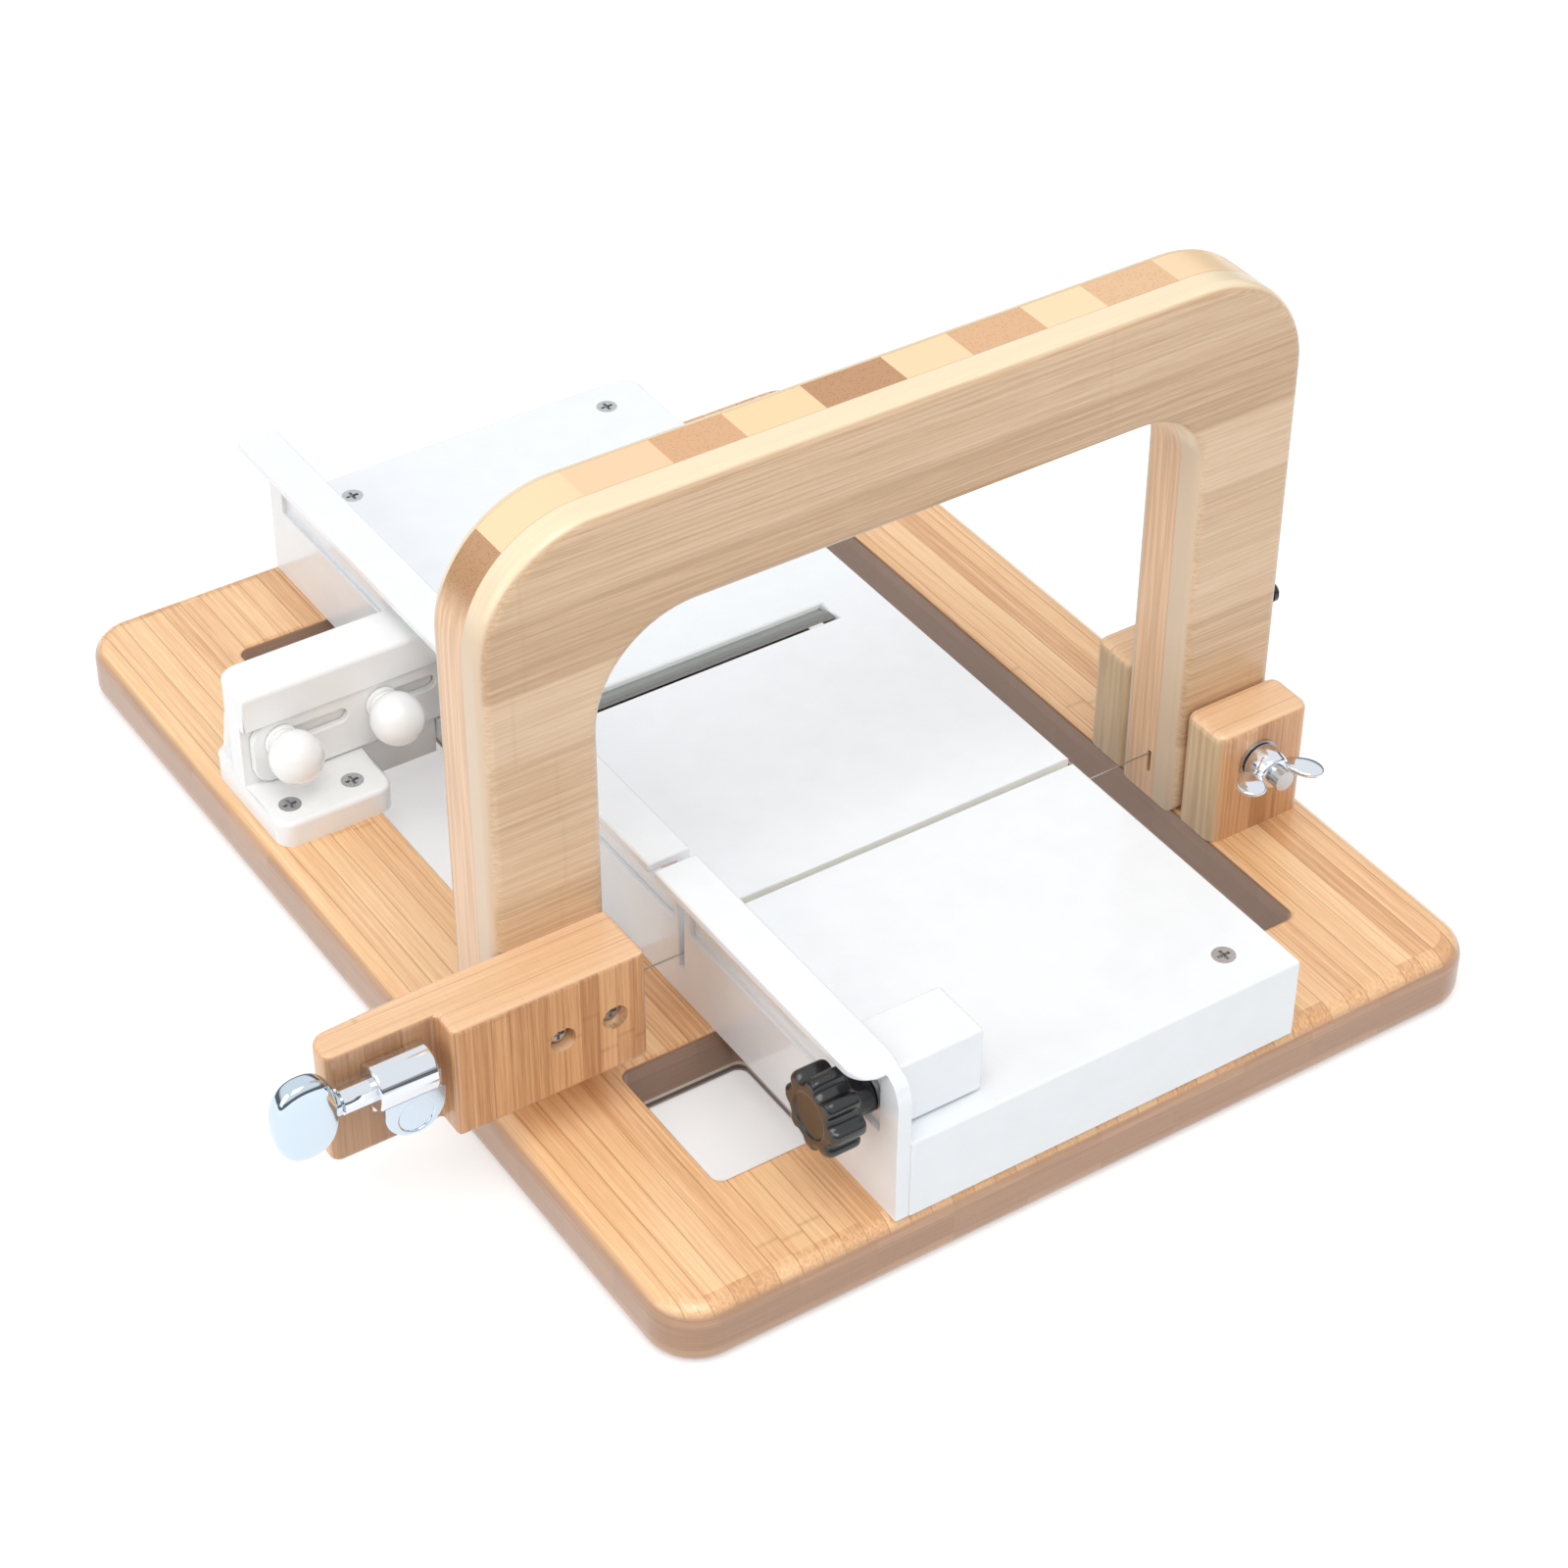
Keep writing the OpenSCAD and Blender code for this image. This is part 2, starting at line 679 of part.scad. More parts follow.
// Washer under the wing nut
module pivot_washer() {
    color(steel) translate([pivot_x, front_block_y, pivot_z]) rotate([90, 0, 0]) difference() {
        cylinder(h = 1, d = 12.5);
        translate([0, 0, -1]) cylinder(h = 3, d = bolt_d + 2 * run_fit);
    }
}

// Chromed wing nut on the front end of the bolt
module wing_nut() {
    color(chrome) translate([pivot_x, front_block_y - 1 - gap, pivot_z]) rotate([90, 0, 0])
        difference() {
            union() {
                cylinder(h = 4, d1 = 11.5, d2 = 11);
                translate([0, 0, 4 - eps]) cylinder(h = 3, d1 = 11, d2 = 9.4);
                for (turn = [0, 180]) rotate(turn - 7) wing();
            }
            translate([0, 0, -1]) cylinder(h = 12, d = bolt_d + 2 * run_fit);
        }
}

// One wing, leaning outward from the hub
module wing() {
    rotate([90, 0, 0]) translate([0, 0, -1]) linear_extrude(2) difference() {
        union() {
            polygon([[3.5, 0.8], [6, 0.8], [13.9, 8], [10, 12], [3.5, 6.2]]);
            translate([11.7, 9.7]) circle(3);
        }
        translate([-1, -1]) square([4.6, 20]);
    }
}

// Outline of the arch in the plane of the wire
module arch_outline() {
    half = arch_w / 2;
    foot_r = leg_w / 2 - 0.75;
    difference() {
        union() {
            translate([-half, arch_foot]) square([arch_w, arch_top - arch_r_out - arch_foot]);
            translate([-half + arch_r_out, arch_foot])
                square([arch_w - 2 * arch_r_out, arch_top - arch_foot]);
            for (x = [-half + arch_r_out, half - arch_r_out])
                translate([x, arch_top - arch_r_out]) circle(arch_r_out);
        }
        translate([-opening_half, 0]) square([2 * opening_half, opening_top - arch_r_left]);
        translate([-opening_half + arch_r_left, 0])
            square([2 * opening_half - arch_r_left, opening_top - arch_r_right]);
        translate([-opening_half + arch_r_left, 0])
            square([2 * opening_half - arch_r_left - arch_r_right, opening_top]);
        translate([-opening_half + arch_r_left, opening_top - arch_r_left]) circle(arch_r_left);
        translate([opening_half - arch_r_right, opening_top - arch_r_right]) circle(arch_r_right);
        translate([half - foot_r, arch_foot - 1]) square([foot_r + 1, foot_r + 1]);
    }
    translate([half - foot_r, arch_foot + foot_r]) circle(foot_r);
}

// Laminated bamboo arch with its pivot bore, wire hole and anchor recess
module arch_frame() {
    color(pale_bamboo) difference() {
        translate([0, arch_rear, 0]) rotate([90, 0, 0]) linear_extrude(arch_t) arch_outline();
        translate([pivot_x, arch_front - 1, pivot_z]) rotate([-90, 0, 0])
            cylinder(h = arch_t + 2, d = bolt_d + 2 * run_fit);
        translate([-arch_w / 2 - 1, wire_y, wire_z]) rotate([0, 90, 0])
            cylinder(h = leg_w + 2, d = 3);
        translate([opening_half + 2, wire_y - 3.5, arch_foot - 1])
            cube([6, 7, wire_z + 4 - arch_foot]);
        translate([opening_half - 1, wire_y - 0.7, wire_z - 7]) cube([4, 1.4, 7.7]);
        translate([anchor_x, arch_rear + 1, anchor_z]) rotate([90, 0, 0]) csk_anchor_room();
        for (x = arm_screw_x)
            translate([x, arch_front - 1, arm_screw_z]) rotate([-90, 0, 0])
                cylinder(h = 13, d = 3.5 + 2 * run_fit);
        translate([arch_w / 2 + 1, side_screw_y, side_screw_z]) rotate([0, -90, 0])
            cylinder(h = 11, d = 3 + 2 * run_fit);
    }
}

// Room for the anchor screw, its head sunk in the rear face of the leg
module csk_anchor_room() {
    translate([0, 0, -1]) cylinder(h = 4, d = 6);
    cylinder(h = arch_t - 1, d = 2 * anchor_r + 2 * run_fit);
}

// Bamboo block on the front of the left leg, notched for the tuner
module arm_block() {
    color(bamboo) difference() {
        translate([0, 0, arm_z]) linear_extrude(arm_h) arm_plan(4.8);
        for (x = arm_screw_x)
            translate([x, arm_front, arm_screw_z]) rotate([-90, 0, 0]) {
                translate([0, 0, -1]) cylinder(h = 6, d = 7.2);
                cylinder(h = arm_t + 1, d = 3.5 + 2 * run_fit);
            }
        translate([gear_x, arm_front, gear_z]) rotate([-90, 0, 0])
            cylinder(h = arm_t + 1, d = bush_d + 2 * run_fit);
    }
}

// Plan of the arm block: full depth on the right, a tongue with round corners on the left
module arm_plan(r) {
    translate([notch_x, arm_front]) square([arm_right - notch_x, arm_t]);
    hull() {
        translate([tongue_x0 + r, arch_front - r]) circle(r);
        translate([tongue_x0 + tongue_r, notch_y + tongue_r]) circle(tongue_r);
        translate([notch_x - 1, notch_y]) square([2, arch_front - notch_y]);
    }
}

// Two screws through the arm block into the left leg
module arm_screws() {
    color(steel) for (x = arm_screw_x)
        translate([x, arm_front + 5, arm_screw_z]) rotate([90, 0, 0]) pan_screw(3.5, 6.4, 2.4, 24);
}

// Small black screw on the outer side of the right leg
module side_screw() {
    color(black_plastic) translate([arch_w / 2, side_screw_y, side_screw_z]) rotate([0, 90, 0])
        pan_screw(3, 6, 2.2, 9);
}

// Screw across the right foot that the end of the wire is looped on
module wire_anchor_screw() {
    color(steel) translate([anchor_x, arch_rear - 2, anchor_z]) rotate([90, 0, 0]) {
        translate([0, 0, -1.9]) cylinder(h = 1.9, d = 5.8);
        cylinder(h = arch_t - 4, d = 2 * anchor_r);
    }
}

// Route of the wire: around the string post, through the left leg and along the deck slot
wire_r = wire_d / 2;
post_wrap_r = post_d / 2 + run_fit + wire_r;
wrap_turns = 3;
wrap_pitch = 0.6;
lead_x = -arch_w / 2 - 1.2;
lead_dx = lead_x - gear_x;
lead_dz = wire_z - gear_z;
lead_len = sqrt(lead_dx * lead_dx + lead_dz * lead_dz);
leave_angle = atan2(lead_dz, lead_dx) - acos(post_wrap_r / lead_len);
anchor_wrap_r = anchor_r + run_fit + wire_r;

// Point on the coil at a number of turns before the wire leaves the post
function coil_point(turn) = [gear_x + post_wrap_r * cos(leave_angle - 360 * turn),
    wire_y - wrap_pitch * turn, gear_z + post_wrap_r * sin(leave_angle - 360 * turn)];

// Point on the loop round the anchor screw, from the top where the wire meets it
function loop_point(a) = [anchor_x + anchor_wrap_r * sin(a), wire_y + a / 360 * wrap_pitch,
    anchor_z + anchor_wrap_r * cos(a)];

coil_steps = 24;
wire_route = concat(
    [for (i = [wrap_turns * coil_steps : -1 : 0]) coil_point(i / coil_steps)],
    [[lead_x, wire_y, wire_z], [lead_x + 8, wire_y, wire_z], [deck_left, wire_y, wire_z]],
    [for (i = [0 : 14]) loop_point(i * 25)]);

// Unit vector, and the direction of the route at point i
function unit(v) = v / norm(v);
function route_dir(p, i) = unit(p[min(i + 1, len(p) - 1)] - p[max(i - 1, 0)]);

// Ring of points round route point i; side is the ring's first axis
function ring(p, i, r, n) = let (
        d = route_dir(p, i),
        side = unit(cross(d, [0.05, 1, 0.02])),
        up = cross(side, d))
    [for (k = [0 : n - 1]) p[i] + r * cos(360 * k / n) * side + r * sin(360 * k / n) * up];

// Steel wire, one tube from the coil on the post to the loop on the anchor screw
module cutting_wire() {
    sides = 8;
    count = len(wire_route);
    points = [for (i = [0 : count - 1]) each ring(wire_route, i, wire_r, sides)];
    walls = [for (i = [0 : count - 2], k = [0 : sides - 1])
        [i * sides + k, i * sides + (k + 1) % sides, (i + 1) * sides + (k + 1) % sides,
            (i + 1) * sides + k]];
    start = [[for (k = [sides - 1 : -1 : 0]) k]];
    finish = [[for (k = [0 : sides - 1]) (count - 1) * sides + k]];
    color(steel) polyhedron(points, concat(start, walls, finish));
}

// Chromed housing: a round cup for the gear, a tube for the worm and a neck for the shaft
module tuner_housing() {
    back = 1.2;
    color(chrome) difference() {
        union() {
            translate([gear_x, notch_y, gear_z]) rotate([90, 0, 0])
                cylinder(h = cup_h, d = cup_d);
            translate([gear_x - cup_d / 2, notch_y - cup_h, gear_z]) cube([cup_d, cup_h, worm_gap]);
            difference() {
                tuner_tube(tube_d);
                translate([tube_x0 - 1, notch_y, worm_z - tube_d])
                    cube([tube_x1 - tube_x0 + 2, tube_d, 2 * tube_d]);
            }
            translate([tube_x0, worm_y, gear_z]) cube([tube_x1 - tube_x0, 5, worm_gap]);
            translate([neck_x0, worm_y, worm_z]) rotate([0, 90, 0])
                cylinder(h = tube_x0 - neck_x0 + eps, d = neck_d);
        }
        translate([gear_x, notch_y - back, gear_z]) rotate([90, 0, 0])
            cylinder(h = cup_h - back, d = 12.8);
        translate([gear_x - worm_len / 2 - 1, worm_y, worm_z]) rotate([0, 90, 0])
            cylinder(h = worm_len + 2, d = 6.2);
        translate([neck_x0 - 1, worm_y, worm_z]) rotate([0, 90, 0])
            cylinder(h = gear_x - neck_x0, d = shaft_d + 2 * run_fit);
        translate([gear_x, notch_y + 1, gear_z]) rotate([90, 0, 0])
            cylinder(h = 4, d = post_d + 2 * run_fit);
    }
}

// Outside of the tube round the worm
module tuner_tube(d) {
    translate([tube_x0, worm_y, worm_z]) rotate([0, 90, 0]) cylinder(h = tube_x1 - tube_x0, d = d);
}

// Dished cover on the front of the cup, round below and fitted under the tube
module tuner_cover() {
    w = cup_d + 0.4;
    top = 4.9;
    color(chrome) difference() {
        translate([gear_x, notch_y - cup_h, gear_z]) rotate([90, 0, 0]) difference() {
            union() {
                cylinder(h = 1.4, d = w);
                translate([-w / 2, 0, 0]) cube([w, top, 1.4]);
            }
            translate([-w, top, -1]) cube([2 * w, w, 4]);
            translate([0, -2.4, 1]) cylinder(h = 2, d = 9.4);
        }
        tuner_tube(tube_d + 0.1);
        translate([tube_x1 - 1, worm_y, worm_z]) rotate([0, 90, 0]) cylinder(h = 4, d = tube_d + 0.1);
    }
}

// Bush with a hexagon flange on the rear of the arm block
module tuner_bush() {
    color(chrome) translate([gear_x, notch_y, gear_z]) rotate([-90, 0, 0]) difference() {
        union() {
            cylinder(h = arch_front + 0.8 - notch_y + 1, d = bush_d);
            translate([0, 0, arch_front + 0.8 - notch_y]) cylinder(h = 2.2, d = 11.5, $fn = 6);
        }
        translate([0, 0, -1]) cylinder(h = 20, d = post_d + 2 * run_fit);
    }
}

// Washer under the hexagon flange
module tuner_washer() {
    color(chrome) translate([gear_x, arch_front, gear_z]) rotate([-90, 0, 0]) difference() {
        cylinder(h = 0.8, d = 13);
        translate([0, 0, -1]) cylinder(h = 3, d = bush_d + 2 * run_fit);
    }
}

// Worm and shaft in one piece, turned by the button
module tuner_shaft() {
    color(steel) {
        translate([gear_x - worm_len / 2, worm_y, worm_z]) rotate([0, 90, 0])
            linear_extrude(worm_len, twist = -360 * worm_len / worm_lead, slices = 48, $fn = 12)
                translate([-0.5, 0]) circle(2.3);
        translate([button_x - 2, worm_y, worm_z]) rotate([0, 90, 0])
            cylinder(h = gear_x - worm_len / 2 - button_x + 2, d = shaft_d);
    }
}

// Thumb button on the end of the shaft
module tuner_button() {
    color(chrome) difference() {
        translate([button_x, worm_y, worm_z]) rotate([90, 0, 0]) {
            for (layer = [[button_t / 2, 1.2], [button_t / 2 - 0.6, 0.5], [button_t / 2 - 1.3, 0]])
                translate([0, 0, -layer[0]]) linear_extrude(2 * layer[0]) button_outline(layer[1]);
            rotate([0, 90, 0]) cylinder(h = button_w / 2 + 0.6, d = 6.4);
        }
        translate([button_x - 2 - run_fit, worm_y, worm_z]) rotate([0, 90, 0])
            cylinder(h = 20, d = shaft_d + eps);
        translate([button_x - button_w / 2 - 1, worm_y, worm_z]) rotate([0, 90, 0])
            cylinder(h = 3, d = 5);
        translate([button_x - button_w / 2, worm_y, worm_z]) rotate([0, 90, 0])
            cylinder(h = button_w / 2, d = 2 + 2 * run_fit);
    }
}

// Outline of the thumb button, drawn in by a margin
module button_outline(margin) {
    r = button_w / 2;
    for (z = [-1, 1]) translate([0, z * (button_h / 2 - r)]) circle(r - margin);
    translate([-r + margin, -button_h / 2 + r]) square([2 * (r - margin), button_h - 2 * r]);
}

// Screw that holds the button on the shaft
module button_screw() {
    color(steel) translate([button_x - button_w / 2 + 2, worm_y, worm_z]) rotate([0, -90, 0])
        pan_screw(2, 4.4, 1.6, button_w / 2 - 4.2);
}

// Gear with round tooth gaps that the worm turns
module tuner_gear() {
    color(brass) translate([gear_x, worm_y + gear_t / 2, gear_z]) rotate([90, 0, 0]) difference() {
        cylinder(h = gear_t, r = gear_tip_r);
        for (i = [0 : gear_teeth - 1]) rotate(90 + i * 360 / gear_teeth)
            translate([gear_tip_r, 0, -1]) cylinder(h = gear_t + 2, r = 0.95, $fn = 24);
        translate([0, 0, -1]) cylinder(h = gear_t + 2, d = 3 + 2 * run_fit);
    }
}

// Post that the wire winds on, stepped for the gear
module string_post() {
    shoulder = worm_y + gear_t / 2;
    color(chrome) translate([gear_x, 0, gear_z]) rotate([-90, 0, 0]) difference() {
        union() {
            translate([0, 0, shoulder]) cylinder(h = post_end - shoulder, d = post_d);
            translate([0, 0, shoulder - gear_t + 0.2]) cylinder(h = gear_t, d = 3);
        }
        translate([0, 0, wire_y - 3]) rotate([90, 0, 0]) cylinder(h = 20, d = 1.2, center = true);
        translate([0, 0, shoulder - gear_t - 1]) cylinder(h = 5, d = 1.6 + 2 * run_fit);
    }
}

// Screw that holds the gear on the post
module gear_screw() {
    color(steel) translate([gear_x, worm_y - gear_t / 2, gear_z]) rotate([90, 0, 0])
        pan_screw(1.6, 3.6, 1.2, 3.6);
}

base_board();
on_board() deck_body();
on_board() deck_screws();
on_board() side_fence();
on_board() planer_blade();
on_board() blade_clamp();
on_board() blade_clamp_screws();
on_board() bevel_bracket();
on_board() bevel_bracket_screws();
on_board() bevel_plate();
on_board() bevel_blade();
on_board() bevel_blade_screws();
on_board() bevel_knob_left();
on_board() bevel_knob_right();
on_board() stop_block();
on_board() stop_stud();
on_board() stop_washer();
on_board() star_knob();
on_board() pivot_block_front();
on_board() pivot_block_rear();
on_board() pivot_block_screws();
on_board() pivot_bolt();
on_board() pivot_washer();
on_board() wing_nut();
on_board() arch_frame();
on_board() arm_block();
on_board() arm_screws();
on_board() side_screw();
on_board() wire_anchor_screw();
on_board() cutting_wire();
on_board() tuner_housing();
on_board() tuner_cover();
on_board() tuner_bush();
on_board() tuner_washer();
on_board() tuner_shaft();
on_board() tuner_button();
on_board() button_screw();
on_board() tuner_gear();
on_board() string_post();
on_board() gear_screw();
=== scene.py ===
"""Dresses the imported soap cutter: bamboo, white mouldings, chrome and steel in a pale studio.

Lengths are millimetres in the classes and metres in Blender; MM converts them. The frame is the
model's own: X along the arch, Y from front to rear, Z up, the floor at zero.
"""

from __future__ import annotations

import json
import logging
import math
from collections.abc import Callable, Sequence
from dataclasses import dataclass
from enum import Enum
from functools import cached_property

import bmesh
import bpy
import numpy as np
from mathutils import Matrix, Vector

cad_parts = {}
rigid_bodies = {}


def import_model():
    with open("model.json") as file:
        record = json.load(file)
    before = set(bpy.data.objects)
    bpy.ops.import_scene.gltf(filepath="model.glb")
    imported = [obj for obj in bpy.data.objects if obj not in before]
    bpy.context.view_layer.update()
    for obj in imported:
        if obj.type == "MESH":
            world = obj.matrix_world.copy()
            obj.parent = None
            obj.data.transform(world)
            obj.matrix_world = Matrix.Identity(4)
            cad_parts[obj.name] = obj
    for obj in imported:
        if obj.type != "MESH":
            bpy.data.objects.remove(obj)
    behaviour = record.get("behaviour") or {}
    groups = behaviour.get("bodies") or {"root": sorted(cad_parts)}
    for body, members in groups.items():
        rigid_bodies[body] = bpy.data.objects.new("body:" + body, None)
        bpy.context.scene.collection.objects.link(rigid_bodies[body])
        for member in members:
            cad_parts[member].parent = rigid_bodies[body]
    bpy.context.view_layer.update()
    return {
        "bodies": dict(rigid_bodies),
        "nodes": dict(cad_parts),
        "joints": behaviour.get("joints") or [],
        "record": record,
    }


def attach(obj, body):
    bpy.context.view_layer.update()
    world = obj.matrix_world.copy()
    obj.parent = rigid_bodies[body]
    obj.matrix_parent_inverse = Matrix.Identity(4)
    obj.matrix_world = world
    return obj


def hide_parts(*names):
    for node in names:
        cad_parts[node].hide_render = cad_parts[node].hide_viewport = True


MM = 0.001
X, Y, Z = 0, 1, 2
TOUCH = 0.02
CREASE = math.radians(40.0)
MOULD_CREASE = math.radians(35.0)
BLACK = (0.0, 0.0, 0.0, 1.0)
WHITE = (1.0, 1.0, 1.0, 1.0)
LOG = logging.getLogger("soap_cutter")

Rgb = tuple[int, int, int]
Rgba = tuple[float, float, float, float]
Pair = tuple[float, float]
Point = tuple[float, float, float]
Socket = bpy.types.NodeSocket


def linear(rgb: Rgb) -> Rgba:
    """Turns a display colour into the linear one that shaders take.

    The curve is the usual one: c / 12.92 near black, else ((c + 0.055) / 1.055) ** 2.4.

    Args:
        rgb: Red, green and blue from 0 to 255.

    Returns:
        Linear red, green and blue, and an alpha of one.
    """
    shares = np.array(rgb, float) / 255.0
    out = np.where(shares <= 0.04045, shares / 12.92, ((shares + 0.055) / 1.055) ** 2.4)
    return (float(out[0]), float(out[1]), float(out[2]), 1.0)


def shifted(rgb: Rgb, change: int) -> Rgb:
    """Makes a display colour lighter or darker by a number of levels."""
    return (rgb[0] + change, rgb[1] + change, rgb[2] + change)


class Grain(Enum):
    """The way that the fibres of a piece of bamboo run, as an order of its axes.

    Each value names the axes that lie across the strips, along the fibres and through the board.
    """

    ALONG_X = ("Y", "X", "Z")
    ALONG_X_UPRIGHT = ("Z", "X", "Y")
    ALONG_Y = ("X", "Y", "Z")
    ALONG_Z = ("X", "Z", "Y")


class ShaderTree:
    """Adds and joins the nodes of one material, world or node group."""

    def __init__(self, tree: bpy.types.NodeTree) -> None:
        """Takes the tree to build in."""
        self.tree = tree
        self.column = 0

    @classmethod
    def emptied(cls, owner: bpy.types.ID) -> ShaderTree:
        """Opens the tree of a material or a world, with no node in it."""
        owner.use_nodes = True
        owner.node_tree.nodes.clear()
        return cls(owner.node_tree)

    def add(self, kind: str, feeds: dict[str | int, object] | None = None,
            **settings: object) -> bpy.types.Node:
        """Adds a node to the right of the last one.

        Args:
            kind: The node's type without its "ShaderNode" prefix, or a full "NodeGroup" name.
            feeds: What its input sockets take.
            settings: Attributes of the node.

        Returns:
            The new node.
        """
        made = self.tree.nodes.new(kind if kind.startswith("NodeGroup") else f"ShaderNode{kind}")
        made.location = (self.column * 190, -(self.column % 5) * 130)
        self.column += 1
        for name, value in settings.items():
            setattr(made, name, value)
        for socket, value in (feeds or {}).items():
            self.feed(made.inputs[socket], value)
        return made

    def feed(self, target: Socket, value: object) -> None:
        """Links a socket to the target, or sets the target to a plain value."""
        if isinstance(value, Socket):
            self.tree.links.new(value, target)
        else:
            target.default_value = value

    def math(self, operation: str, *values: object, clamp: bool = False) -> Socket:
        """Works out one arithmetic step on numbers or sockets."""
        return self.add("Math", dict(enumerate(values)), operation=operation,
                        use_clamp=clamp).outputs[0]

    def times(self, first: object, *others: object) -> Socket:
        """Multiplies numbers or sockets in turn."""
        for other in others:
            first = self.math("MULTIPLY", first, other)
        return first

    def plus(self, first: object, second: object, clamp: bool = False) -> Socket:
        """Adds two numbers or sockets, and keeps the sum from 0 to 1 if it is clamped."""
        return self.math("ADD", first, second, clamp=clamp)

    def minus(self, first: object, second: object) -> Socket:
        """Takes the second number or socket from the first."""
        return self.math("SUBTRACT", first, second)

    def cell(self, value: object, size: object) -> Socket:
        """Numbers the cells of a size that a value falls in."""
        return self.math("FLOOR", self.math("DIVIDE", value, size))

    def split(self, vector: Socket) -> dict[str, Socket]:
        """Splits a vector into its X, Y and Z."""
        made = self.add("SeparateXYZ", {0: vector})
        return {name: made.outputs[name] for name in "XYZ"}

    def join(self, *parts: object) -> Socket:
        """Joins three numbers into a vector."""
        return self.add("CombineXYZ", dict(enumerate(parts))).outputs[0]

    def noise(self, vector: Socket, scale: float, detail: float = 2.0) -> Socket:
        """Reads smooth noise from 0 to 1 at a position."""
        return self.add("TexNoise", {"Vector": vector, "Scale": scale, "Detail": detail},
                        noise_dimensions="3D").outputs[0]

    def streaks(self, place: dict[str, Socket], *scales: float, detail: float = 3.0) -> Socket:
        """Reads noise with its own scale along X, Y and Z; a small scale draws it out."""
        stretched = self.join(*(self.times(place[name], scale)
                                for name, scale in zip("XYZ", scales)))
        return self.noise(stretched, 1.0, detail)

    def dice(self, *parts: object) -> Socket:
        """Reads one random number from 0 to 1 for each set of three whole numbers."""
        return self.add("TexWhiteNoise", {"Vector": self.join(*parts)},
                        noise_dimensions="3D").outputs["Value"]

    def step(self, value: object, low: object, high: object) -> Socket:
        """Goes smoothly from 0 at the low value to 1 at the high one."""
        return self.add("MapRange", {"Value": value, "From Min": low, "From Max": high},
                        interpolation_type="SMOOTHSTEP").outputs[0]

    def fade(self, value: object, low: object, high: object) -> Socket:
        """Goes smoothly from 1 at the low value to 0 at the high one."""
        return self.minus(1.0, self.step(value, low, high))

    def beyond(self, value: object, low: float, high: float) -> Socket:
        """Steps up on both sides of zero, by the value's distance from it."""
        return self.step(self.math("ABSOLUTE", value), low, high)

    def mix(self, share: object, first: object, second: object) -> Socket:
        """Mixes two colours by a share from 0 to 1."""
        return self.add("Mix", {0: share, 6: first, 7: second}, data_type="RGBA").outputs[2]

    def ramp(self, value: object, stops: Sequence[tuple[float, tuple]],
             stepped: bool = False) -> Socket:
        """Looks a value up in a row of colours, which blend unless they are stepped."""
        made = self.add("ValToRGB", {0: value})
        made.color_ramp.interpolation = "CONSTANT" if stepped else "LINEAR"
        elements = made.color_ramp.elements
        while len(elements) < len(stops):
            elements.new(0.5)
        for element, (place, colour) in zip(elements, stops):
            element.position = place
            element.color = colour
        return made.outputs[0]

    def bump(self, height: object, depth: float, strength: float) -> Socket:
        """Turns a height into a normal; the depth is in millimetres."""
        return self.add("Bump", {"Strength": strength, "Distance": depth * MM,
                                 "Height": height}).outputs[0]

    def group(self, tree: bpy.types.NodeTree, **values: object) -> dict[str, Socket]:
        """Places a node group, feeds its inputs and gives its outputs by name.

        An underscore in an input's name stands for a space.
        """
        feeds = {name.replace("_", " "): value for name, value in values.items()}
        made = self.add("Group", feeds, node_tree=tree)
        return {socket.name: socket for socket in made.outputs}


@dataclass(frozen=True)
class Patterns:
    """The sizes of the shared patterns: lengths in millimetres, noise scales per millimetre.

    A pair for noise is its scale and its detail, or the two values that an edge blurs between.
    """

    drift: Pair = (0.02, 1.0)
    layer: float = 9.0
    joint_blur: Pair = (0.0, 0.05)
    joint_depth: float = 0.7
    coarse: Point = (1.3, 0.018, 1.3)
    coarse_share: float = 0.62
    fine: Point = (4.5, 0.09, 4.5)
    fine_share: float = 0.38
    strips_together: float = 3.0
    knuckle_scatter: float = 5.0
    knuckle_waver: float = 2.4
    knuckle_blur: Pair = (0.9, 2.3)
    wave: Pair = (0.035, 1.0)
    speck: Pair = (2.4, 2.0)
    speck_share: float = 0.02
    smear: Pair = (0.11, 4.0)
    smear_blur: Pair = (0.45, 0.75)
    ground: Point = (0.06, 7.0, 7.0)


